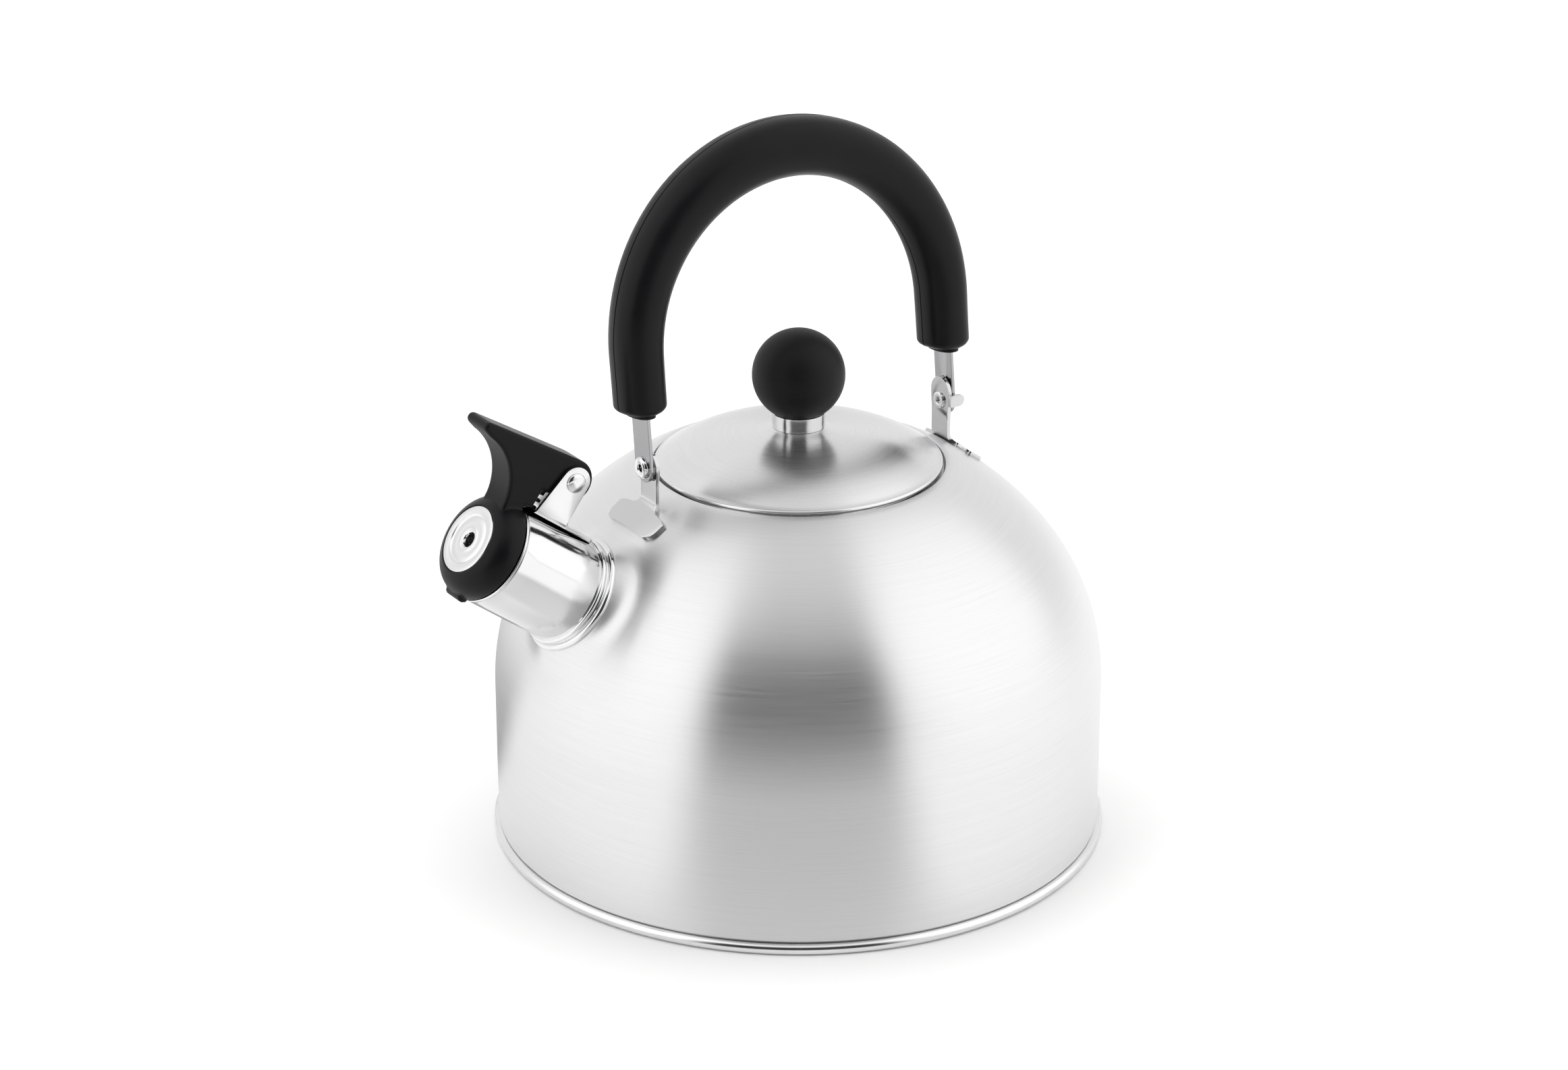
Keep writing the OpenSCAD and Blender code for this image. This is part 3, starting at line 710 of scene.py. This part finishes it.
class KETTLE_OT_whistle_cap(bpy.types.Operator):
    """Make the black cap and its thumb lever, one moulding with soft edges"""
    bl_idname = "kettle.whistle_cap"
    bl_label = "Whistle cap"

    def execute(self, context):
        lever = bevel_sharp(plate(lever_outline(), LEVER_W), 0.8, 3, 30)
        chamber = 9.1
        crown = [(chamber, -1.1), (10.55, -1.1), (10.55, -0.25), (10.8, -0.02)]
        crown += arc((9.3, -7.0), 7.0, 77, 0, 16)[1:] + [(CAP_R, -8.0), (CAP_R - 0.3, -8.3)]
        crown += [(14.6, -8.3), (14.6, -5.4), (chamber, -5.4)]
        cap = lathe(crown, 128)
        lip = [(-13.5, -8.2), (-17.0, -8.2)] + arc((-15.6, -6.5), 1.7, 240, 120, 8) + [(-13.5, -3.9)]
        parts = [lever, cap, bevel_sharp(plate(lip, 8), 1.3, 4, 30)]
        for n in (17.6, 20.0, 22.4):
            parts.append(plate(block(n - 0.6, n + 0.6, -12.4, -9), 10.4))
        moulding = with_modifiers(join(*parts), ("REMESH", {
            "mode": "VOXEL", "voxel_size": 0.3, "use_smooth_shade": True}))
        for _ in range(3):
            bmesh.ops.smooth_vert(moulding, verts=moulding.verts, factor=0.5,
                                  use_axis_x=True, use_axis_y=True, use_axis_z=True)
        slot = [(16, -23.5), (16, -14.4), (33, -14.4), (33.4, -18), (HINGE.x, -23.2)]
        moulding = boolean(moulding, plate(slot, 6))
        make_piece("cap_lever_skin", moulding, "cap_plastic", "whistle", ("cap_lever",), ON_SPOUT, 50)
        return {"FINISHED"}


class KETTLE_OT_whistle_disc(bpy.types.Operator):
    """Make the bright disc on the front of the whistle, with its stepped face and hole"""
    bl_idname = "kettle.whistle_disc"
    bl_label = "Whistle disc"

    def execute(self, context):
        rim, hole = 10.5, 2.2
        outline = [(hole, -DISC_DEPTH), (rim - 0.1, -DISC_DEPTH), (rim, -0.95)]
        outline += arc((rim - 0.35, -0.35), 0.35, 0, 90, 5)
        outline += [(9.2, 0), (8.55, -0.02)] + arc((8.1, -0.55), 0.5, 80, 100, 2)
        outline += arc((7.35, -0.1), 0.4, 300, 240, 4) + [(6.9, -0.36), (5.4, -0.42), (4.2, -0.44)]
        outline += [(3.75, -0.42), (3.45, -0.3), (3.2, -0.36)]
        outline += arc((2.9, -0.95), 0.6, 75, 165, 6)
        make_piece("whistle_disc_skin", lathe(outline, 144), "mirror_steel", "whistle",
                   ("whistle_front_disc",), ON_SPOUT)
        return {"FINISHED"}


TAB_X = 53.05
TAB_T = 1.2
TAB_R = 4.9
TAB_RISE = 2.7


def bracket_sheet(rise):
    """The middle surface of the +X bracket as a grid: flange on the dome, bend, neck and round head."""
    outer, corner, half = 61.5, 3.5, 12.5
    lift = 0.72
    bend = 2.0
    neck = 4.35
    flare = 2.2
    # Each row is its x, half width and height, or None for a height that follows the dome.
    # Flange, from its outer edge inwards, with round outer corners
    rows = [(x, y, None) for x, y in arc((outer - corner, half - corner), corner, 0, 90, 8)]
    rows += [(x, half, None) for x in (57.4, 56.8, 56.2, 55.8)]
    # Inner corners of the flange, and the bend up into the neck
    start, inner = 54.9, 55.8
    turns = arc((0, 0), 1, 0, 90, 7)[1:]
    for c, s in turns:
        rows.append((inner - (inner - start) * s, neck + flare + (half - neck - flare) * c ** 1.4, None))
    foot_z = dome_height(TAB_X, 0) + lift
    for c, s in turns:
        x = start - (start - TAB_X) * s
        flat_z = dome_height(start, 0) + lift + 0.45 * (start - x)
        rows.append((x, neck + flare * (1 - s) ** 1.5, flat_z + bend * (1 - c)))
    z0 = rows[-1][2]
    shoulder = PIVOT.z - 5.2
    for i in range(1, 5):
        rows.append((TAB_X, neck, z0 + (shoulder - z0) * i / 4))
    for i in range(1, 9):
        u = i / 8
        rows.append((TAB_X, neck + (TAB_R - neck) * u * u * (3 - 2 * u),
                     shoulder + (PIVOT.z + rise - shoulder) * u))
    head = arc((0, PIVOT.z + rise), TAB_R, 0, 88.5, 11)[1:]
    rows += [(TAB_X, y, z) for y, z in head]
    bm = bmesh.new()
    columns = 16
    bmesh.ops.create_grid(bm, x_segments=columns, y_segments=len(rows) - 1, size=0.5)
    bm.verts.ensure_lookup_table()
    ordered = sorted(bm.verts, key=lambda v: (round(v.co.y, 5), round(v.co.x, 5)))
    for k, v in enumerate(ordered):
        x, width, z = rows[k // (columns + 1)]
        y = width * (2 * (k % (columns + 1)) / columns - 1)
        if z is None:
            v.co = (x, y, dome_height(x, y) + lift)
        else:
            drop = dome_height(x, 0) - dome_height(x, y)
            level = max(0.0, 1 - (z - foot_z) / 2.0)
            v.co = (x, y, z - drop * level)
    return bm


def handle_bracket(side, rise):
    """A handle bracket on the front or rear side, with its round head raised by rise."""
    sheet = bracket_sheet(rise)
    bmesh.ops.recalc_face_normals(sheet, faces=sheet.faces)
    solid = with_modifiers(sheet, ("SOLIDIFY", {"thickness": 1.15, "offset": 0.0, "use_even_offset": False}),
                           ("BEVEL", {"width": 0.3, "segments": 3, "limit_method": "ANGLE",
                                      "angle_limit": math.radians(50)}))
    moved(solid, Matrix.Diagonal((side, 1, 1, 1)))
    bmesh.ops.recalc_face_normals(solid, faces=solid.faces)
    return solid


class KETTLE_OT_handle_brackets(bpy.types.Operator):
    """Make the two pressed handle brackets on the shoulder, the rear one with its stop ear"""
    bl_idname = "kettle.handle_brackets"
    bl_label = "Handle brackets"

    def execute(self, context):
        make_piece("front_bracket_skin", handle_bracket(-1, 0.0), "bracket_steel", "kettle",
                   ("front_bracket",))
        stop_y = 5.0
        ear_z = PIVOT.z + 1
        ear_r = 1.95
        ear = [(TAB_X - TAB_T / 2, ear_z - ear_r)]
        ear += arc((TAB_X + TAB_T / 2 + 2.1, ear_z), ear_r, -90, 90, 16)
        ear += [(TAB_X - TAB_T / 2, ear_z + ear_r)]
        stop = bevel_sharp(plate(ear, 1.0, -stop_y - 0.5), 0.16, 2, 40)
        root = plate(block(TAB_X - 0.55, TAB_X + 0.55, ear_z - 1.85, ear_z + 1.85), 1.4, -stop_y - 0.1)
        make_piece("rear_bracket_skin", join(handle_bracket(1, TAB_RISE), stop, root), "bracket_steel",
                   "kettle", ("rear_bracket",))
        return {"FINISHED"}


class KETTLE_OT_pivots(bpy.types.Operator):
    """Make the washers and the tubular rivets that the handle turns on"""
    bl_idname = "kettle.pivots"
    bl_label = "Handle pivots"

    def execute(self, context):
        washer_t, strap_t = 0.5, 1.2
        base = washer_t + strap_t + 0.1
        rivet = [(1.1, 0.2), (1.15, base + 0.25)]
        rivet += arc((1.75, base + 0.6), 0.62, 180, 75, 7)
        rivet += arc((2.2, base + 0.1), 1.28, 82, 6, 9)
        rivet += [(3.45, base), (1.9, base), (1.9, -TAB_T), (2.65, -TAB_T)]
        rivet += arc((2.2, -TAB_T - 0.25), 0.55, 0, -90, 5)
        rivet += arc((1.5, -TAB_T - 0.3), 0.5, 270, 180, 4) + [(1.0, -TAB_T)]
        washer = [(1.95, 0.02), (3.8, 0.02), (3.8, washer_t - 0.02), (1.95, washer_t - 0.02)]
        tab_out = STRAP_X - strap_t / 2 - 0.05 - washer_t
        for side, name in ((-1, "front"), (1, "rear")):
            at = Matrix.Translation((side * tab_out, 0, PIVOT.z))
            at @= Matrix.Rotation(side * math.pi / 2, 4, "Y")
            make_piece(f"{name}_rivet_skin", lathe(rivet, 64), "mirror_steel", "kettle",
                       (f"{name}_rivet",), at)
            make_piece(f"{name}_washer_skin", lathe(washer, 64), "inner_steel", "kettle",
                       (f"{name}_washer",), at)
        return {"FINISHED"}


ARCH_H = 34.3


class KETTLE_OT_strap(bpy.types.Operator):
    """Make the steel strap that runs through the grip, with its round drilled ends"""
    bl_idname = "kettle.strap"
    bl_label = "Strap"

    def execute(self, context):
        half_t, half_w = 0.6, 4.65
        corner, edge_t = 0.22, 0.35
        # Section of the strip with rounded edges, drawn as (outwards, across)
        section = [(half_t, y) for y in (-half_w + corner, 0, half_w - corner)]
        section += [(edge_t, half_w), (-edge_t, half_w)]
        section += [(-half_t, y) for y in (half_w - corner, 0, -half_w + corner)]
        section += [(-edge_t, -half_w), (edge_t, -half_w)]
        bm = bmesh.new()
        verts, edges = wire(bm, [(STRAP_X + u, v, ARCH_H) for u, v in section])
        turned = bmesh.ops.spin(bm, geom=verts + edges, cent=(0, 0, ARCH_H), axis=(0, -1, 0),
                                dvec=(0, 0, 0), angle=math.pi, steps=96, use_merge=False)
        for loop in (edges, new_edges(turned["geom_last"])):
            down = bmesh.ops.extrude_edge_only(bm, edges=loop)["geom"]
            bmesh.ops.translate(bm, vec=(0, 0, -ARCH_H), verts=new_verts(down))
            bmesh.ops.holes_fill(bm, edges=new_edges(down), sides=0)
        clean(bm)
        disc = [(0, -half_t), (half_w - corner, -half_t), (half_w, -edge_t), (half_w, edge_t),
                (half_w - corner, half_t), (0, half_t)]
        drill = [(0, -3), (1.97, -3), (1.97, 3), (0, 3)]
        for outline, steps, operation in ((disc, 64, "UNION"), (drill, 48, "DIFFERENCE")):
            for side in (-1, 1):
                at = Matrix.Translation((side * STRAP_X, 0, 0)) @ Matrix.Rotation(math.pi / 2, 4, "Y")
                bm = boolean(bm, moved(lathe(outline, steps, closed=False), at), operation)
        make_piece("strap_skin", bm, "strap_steel", "handle", ("handle_strap",), ON_HANDLE)
        return {"FINISHED"}


GRIP_START = 16.0
LEG = ARCH_H - GRIP_START
ARCH_RUN = math.pi * STRAP_X
HALF_RUN = LEG + ARCH_RUN / 2


def arch_place(run):
    """Point of the arch and its outward direction at a distance from the grip's first end."""
    if run < LEG:
        return Vector((-STRAP_X, 0, GRIP_START + run)), Vector((-1, 0, 0))
    if run > LEG + ARCH_RUN:
        return Vector((STRAP_X, 0, GRIP_START + 2 * HALF_RUN - run)), Vector((1, 0, 0))
    a = math.pi - (run - LEG) / STRAP_X
    out = Vector((math.cos(a), 0, math.sin(a)))
    return Vector((0, 0, ARCH_H)) + out * STRAP_X, out


def grip_section(thick, wide, side):
    """Half of the grip's section with the strap's channel and a bevelled parting edge."""
    steps = 22
    points = [(thick - 0.3, 0.03), (thick - 0.02, 0.28)]
    for i in range(1, steps):
        q = math.pi * i / steps
        u = thick * math.copysign(abs(math.cos(q)) ** 0.87, math.cos(q))
        v = wide * math.sin(q) ** 0.87
        if v > 0.7:
            points.append((u, v))
    points += [(0.02 - thick, 0.28), (0.3 - thick, 0.03), (-0.7, 0.03), (-0.7, 4.75), (0.7, 4.75),
               (0.7, 0.03)]
    return [(u, v * side) for u, v in points]


def grip_half(side):
    """One half of the grip, swept along the arch from end to end."""
    shoulder = 2.6
    runs = [0.06, 0.2, 1.15, 1.2]
    shares = [-0.06, 0.0, 0.0, 0.25]
    for i in range(2, 10):
        a = math.radians(90 * i / 9)
        runs.append(1.2 + shoulder * (1 - math.cos(a)))
        shares.append(math.sin(a))
    for i in range(1, 45):
        runs.append(3.8 + (HALF_RUN - 3.8) * i / 44)
        shares.append(1.0)
    runs += [2 * HALF_RUN - r for r in runs[-2::-1]]
    shares += shares[-2::-1]
    bm = bmesh.new()
    ring = None
    for run, share in zip(runs, shares):
        u = min(1.0, min(run, 2 * HALF_RUN - run) / HALF_RUN)
        grow = u * u * (3 - 2 * u)
        thick = 3.4 + (7.5 + 1.7 * grow - 3.4) * share
        wide = 6.3 + (8.5 + 1.5 * grow - 6.3) * share
        centre, out = arch_place(run)
        points = [centre + out * a + Vector((0, b, 0)) for a, b in grip_section(thick, wide, side)]
        if ring is None:
            ring, loop = wire(bm, points)
            first = loop
            continue
        geom = bmesh.ops.extrude_edge_only(bm, edges=loop)["geom"]
        fresh = set(new_verts(geom))
        # Each vertex is followed by the new end of the edge that leaves it
        ring = [next(e.other_vert(v) for e in v.link_edges if e.other_vert(v) in fresh) for v in ring]
        for v, point in zip(ring, points):
            v.co = point
        loop = [e for e in new_edges(geom) if all(v in fresh for v in e.verts)]
    for end in (loop, first):
        bmesh.ops.contextual_create(bm, geom=end)
    bmesh.ops.triangulate(bm, faces=[f for f in bm.faces if len(f.verts) > 4])
    bmesh.ops.recalc_face_normals(bm, faces=bm.faces)
    return bm


class KETTLE_OT_grips(bpy.types.Operator):
    """Make the two moulded halves of the grip, with the parting line between them"""
    bl_idname = "kettle.grips"
    bl_label = "Grip halves"

    def execute(self, context):
        for side, name in ((-1, "near"), (1, "far")):
            make_piece(f"grip_{name}_skin", grip_half(side), "grip_plastic", "handle",
                       (f"grip_{name}_half",), ON_HANDLE, 40)
        return {"FINISHED"}


LID_EDGE_Z = 120.6
NECK_TOP = 132.0
KNOB_FOOT = 136.9


def lid_top(offset):
    """The lid's outline from the crown's edge in to the top of the neck, moved down by offset."""
    edge, bead, flare_end, neck = 44.4, 0.8, 12.0, 8.0
    flare_turn, neck_turn = 6, 26
    low, high = math.radians(flare_turn), math.radians(neck_turn)
    bell_r = (flare_end - neck) / (math.sin(high) - math.sin(low))
    centre = Vector((neck + bell_r * math.sin(high), NECK_TOP + bell_r * math.cos(high)))
    flare_z = centre.y - bell_r * math.cos(low)
    run = edge - bead - flare_end
    drop = flare_z - LID_EDGE_Z - bead
    slope = math.tan(low) * run
    crown = []
    for i in range(27):
        u = 1 - i / 26
        crown.append((flare_end + run * u, flare_z - slope * u - (drop - slope) * u ** 3 - offset))
    return crown + arc(centre, bell_r + offset, 270 - flare_turn, 270 - neck_turn, 10)[1:]


class KETTLE_OT_lid(bpy.types.Operator):
    """Make the lid with its flared neck and polished edge, and the skirt inside it"""
    bl_idname = "kettle.lid"
    bl_label = "Lid"

    def execute(self, context):
        turns = context.scene.kettle_shape.turns
        top = lid_top(0)
        sheet = 0.7
        outline = [(2.3, NECK_TOP - sheet)] + lid_top(sheet)[::-1][1:]
        outline += arc((43.6, LID_EDGE_Z), 0.8, 200, 445, 18)
        outline += top[1:] + [(2.3, NECK_TOP)]
        make_piece("lid_skin", lathe(outline, turns), "lid_steel", "lid", ("lid_cover",))
        outer = NECK_R - 0.4
        low = SEAT_Z - 9
        skirt = [(outer - 0.8, low + 0.3), (outer - 0.5, low), (outer - 0.2, low), (outer, low + 0.4),
                 (outer, SEAT_Z + 0.1), (outer + 0.3, SEAT_Z + 0.35), (42.6, SEAT_Z + 0.35),
                 (42.8, SEAT_Z + 0.6), (42.6, SEAT_Z + 1.05), (outer, SEAT_Z + 1.1), (outer, SEAT_Z + 2.2),
                 (outer - 0.8, SEAT_Z + 2.2)]
        make_piece("lid_skirt_skin", lathe(skirt, turns), "inner_steel", "lid", ("lid_skirt",))
        return {"FINISHED"}


class KETTLE_OT_knob(bpy.types.Operator):
    """Make the ball knob and the bright ferrule under it"""
    bl_idname = "kettle.knob"
    bl_label = "Knob"

    def execute(self, context):
        radius = context.scene.kettle_shape.knob / MM
        centre = box_mm("lid_knob")[1].z - radius
        foot = math.degrees(math.asin((KNOB_FOOT - centre) / radius))
        ball = [(0, KNOB_FOOT + 0.02), (7.6, KNOB_FOOT + 0.02)]
        ball += arc((0, centre), radius, foot + 1.5, 90, 40)
        ball[-1] = (0, centre + radius)
        make_piece("knob_skin", lathe(ball, 96, closed=False), "knob_plastic", "lid", ("lid_knob",))
        outer = 8.2
        ring = [(2.3, NECK_TOP), (outer - 0.5, NECK_TOP), (outer - 0.1, NECK_TOP + 0.15),
                (outer, NECK_TOP + 0.45), (outer, KNOB_FOOT - 0.3), (outer - 0.3, KNOB_FOOT),
                (2.3, KNOB_FOOT)]
        make_piece("knob_ferrule_skin", lathe(ring, 96), "mirror_steel", "lid", ("knob_ferrule",))
        return {"FINISHED"}


class KETTLE_OT_inner_parts(bpy.types.Operator):
    """Give the pieces that keep their drawn shape their finishes"""
    bl_idname = "kettle.inner_parts"
    bl_label = "Inner parts"

    def execute(self, context):
        slots = {part["node"]: part["material_slot"] for part in frame["record"]["subparts"]}
        for name, node in frame["nodes"].items():
            if node.hide_render:
                continue
            node.data.materials.clear()
            node.data.materials.append(FINISH[slots[name]])
        return {"FINISHED"}


CAMERA_AT = (-0.62570, -0.97572, 0.57565)
CAMERA_RIGHT = (0.84386, -0.53656, 0.0)
CAMERA_LOOK = (0.49572, 0.77962, -0.38268)
LENS = 92.98


def area_light(name, at, size, power):
    """A soft panel that shines on the kettle and isn't seen in its steel."""
    lamp = bpy.data.lights.new(name, "AREA")
    lamp.shape = "RECTANGLE"
    lamp.size, lamp.size_y = size
    lamp.energy = power
    light = bpy.data.objects.new(name, lamp)
    light.location = at
    light.rotation_euler = (Vector((0, 0, 0.1)) - Vector(at)).to_track_quat("-Z", "Y").to_euler()
    light.visible_glossy = False
    bpy.context.scene.collection.objects.link(light)


def studio_world(opening, white=0.93, bright=1.32, dark=0.05):
    """White surroundings, brighter to the left and right, with a soft dark opening in one direction."""
    world = bpy.data.worlds.new("studio")
    nodes = Nodes(world)
    ahead = Vector((opening.x, opening.y, 0)).normalized()
    sideways = Vector((-ahead.y, ahead.x, 0))
    soft = {"interpolation_type": "SMOOTHSTEP"}
    direction = nodes.add("ShaderNodeTexCoord").outputs["Generated"]

    def along(axis):
        return nodes.vector("DOT_PRODUCT", direction, axis)["Value"]

    # The opening's half width, and the height where it ends
    turn = nodes.math("ABSOLUTE", nodes.math("ARCTAN2", along(sideways), along(ahead)))
    across = nodes.spread(turn, 1.0, 0.0, math.radians(29), math.radians(45), **soft)
    upwards = nodes.spread(nodes.split(direction)[2], 1.0, 0.0, math.sin(math.radians(44)),
                           math.sin(math.radians(60)), **soft)
    shade = nodes.spread(nodes.math("MULTIPLY", across, upwards), 1.0, dark / white, 0.0, 1.0)
    # The two bright areas, by their heading from the opening and their height
    strength = white
    for heading, rise in ((-72, 34), (84, 32)):
        level = Matrix.Rotation(math.radians(heading), 3, "Z") @ ahead * math.cos(math.radians(rise))
        towards = level + Vector((0, 0, math.sin(math.radians(rise))))
        glow = nodes.spread(along(towards), 0.0, bright - white, math.cos(math.radians(48)),
                            math.cos(math.radians(26)), **soft)
        strength = nodes.math("ADD", glow, strength)
    background = nodes.tree.nodes["Background"]
    background.inputs["Color"].default_value = (1.0, 0.997, 0.993, 1)
    nodes.tree.links.new(nodes.math("MULTIPLY", strength, shade), background.inputs["Strength"])
    return world


def painted_floor_shade_card(name, heading, half_angle, reach, hold, near, far):
    """A grey card on the floor that only the steel's reflections see.

    Its glow is a painted shade of the floor: its brightness goes from near to far, and beyond the distance hold it
    fades away.
    """
    bm = bmesh.new()
    inner = BODY_R * MM + 0.006
    middle = math.degrees(heading)
    outline = arc((0, 0), reach, middle - half_angle, middle + half_angle, 24)
    outline += arc((0, 0), inner, middle + half_angle, middle - half_angle, 24)
    _, edges = wire(bm, [(x, y, 0.0004) for x, y in outline])
    bmesh.ops.edgeloop_fill(bm, edges=edges)
    card = as_object(name, bm)
    card.visible_camera = card.visible_diffuse = card.visible_shadow = False
    card.visible_transmission = card.visible_volume_scatter = False
    paint = Finish(name + "_paint", (0.5, 0.5, 0.5))
    x, y, _ = paint.split(paint.add("ShaderNodeMapping", paint.place, None, (0, 0, -heading)).outputs[0])
    angle = paint.math("ABSOLUTE", paint.math("ARCTAN2", y, x))
    radius = paint.vector("LENGTH", paint.place)["Value"]
    # Painted shade: the card glows in place of the shaded floor, its brightness running from near to far
    light = paint.add("ShaderNodeEmission", (1, 1, 1, 1),
                      paint.spread(radius, near, far, inner, 0.6)).outputs[0]
    side = paint.spread(angle, 1.0, 0.0, math.radians(half_angle * 0.7), math.radians(half_angle))
    edge = paint.math("MULTIPLY", side, paint.spread(radius, 1.0, 0.0, hold, reach))
    clear = paint.add("ShaderNodeBsdfTransparent").outputs[0]
    mixed = paint.add("ShaderNodeMixShader", edge, clear, light).outputs[0]
    paint.tree.links.new(mixed, paint.tree.nodes["Material Output"].inputs["Surface"])
    card.data.materials.append(paint.material)


class KETTLE_OT_stage(bpy.types.Operator):
    """Set out the pale floor, the soft studio light and the camera"""
    bl_idname = "kettle.stage"
    bl_label = "Stage"

    def execute(self, context):
        scene = context.scene
        camera = bpy.data.objects.new("camera", bpy.data.cameras.new("camera"))
        camera.data.lens = LENS
        camera.data.sensor_width = 36
        camera.data.clip_end = 50
        right, look = Vector(CAMERA_RIGHT), Vector(CAMERA_LOOK)
        up = right.cross(look)
        turn = Matrix((right, up, -look)).transposed().to_4x4()
        camera.matrix_world = Matrix.Translation(CAMERA_AT) @ turn
        scene.collection.objects.link(camera)
        scene.camera = camera

        bm = bmesh.new()
        bmesh.ops.create_circle(bm, cap_ends=True, radius=9.0, segments=96)
        floor = as_object("floor", bm)
        paint = Finish("floor_paint", (0.93, 0.93, 0.93), 0.0, 0.7, specular_ior_level=0.1)
        cloud = paint.noise(paint.place, 3.0, 2.0)
        paint.link(paint.tint(cloud, (0.92, 0.92, 0.92), (0.94, 0.94, 0.94)), "Base Color")
        floor.data.materials.append(paint.material)

        scene.world = studio_world(-look)
        scene.view_settings.view_transform = "Standard"
        area_light("left_panel", (-2.6, 0.3, 1.3), (2.4, 2.6), 12)
        area_light("right_panel", (2.0, -1.9, 1.3), (2.2, 2.6), 12)
        area_light("top_panel", (0.2, 0.6, 2.6), (2.6, 2.6), 23)
        front = math.atan2(-look.y, -look.x)
        # Painted shade of the floor in front, darker further out towards the camera, and a painted shadow of the
        # kettle on the floor to the back-left, both seen only in the steel
        painted_floor_shade_card("front_floor_shade_card", front, 38, 0.8, 0.79, 0.84, 0.36)
        painted_floor_shade_card("back_floor_shadow_card", front - math.radians(140), 40, 0.55, 0.12, 0.35, 0.3)
        return {"FINISHED"}


class KETTLE_PT_panel(bpy.types.Panel):
    """Settings and pieces of the kettle"""
    bl_idname = "KETTLE_PT_panel"
    bl_label = "Whistling kettle"
    bl_space_type = "VIEW_3D"
    bl_region_type = "UI"
    bl_category = "Kettle"

    def draw(self, context):
        for group in (context.scene.kettle_shape, context.scene.kettle_look):
            for key in group.__annotations__:
                self.layout.prop(group, key)
        for operator in OPERATORS:
            self.layout.operator(operator.bl_idname)


OPERATORS = (KETTLE_OT_body, KETTLE_OT_base, KETTLE_OT_spout, KETTLE_OT_whistle_hinge,
             KETTLE_OT_whistle_cap, KETTLE_OT_whistle_disc, KETTLE_OT_handle_brackets,
             KETTLE_OT_pivots, KETTLE_OT_strap, KETTLE_OT_grips, KETTLE_OT_lid, KETTLE_OT_knob,
             KETTLE_OT_inner_parts, KETTLE_OT_stage)
CLASSES = (KettleShape, KettleLook, *OPERATORS, KETTLE_PT_panel)


def register():
    for cls in CLASSES:
        bpy.utils.register_class(cls)
    bpy.types.Scene.kettle_shape = PointerProperty(type=KettleShape)
    bpy.types.Scene.kettle_look = PointerProperty(type=KettleLook)


def unregister():
    del bpy.types.Scene.kettle_look
    del bpy.types.Scene.kettle_shape
    for cls in reversed(CLASSES):
        bpy.utils.unregister_class(cls)


def main():
    register()
    FINISH.update(make_finishes(bpy.context.scene.kettle_look))
    for operator in OPERATORS:
        group, name = operator.bl_idname.split(".")
        getattr(getattr(bpy.ops, group), name)()


if __name__ == "__main__":
    main()
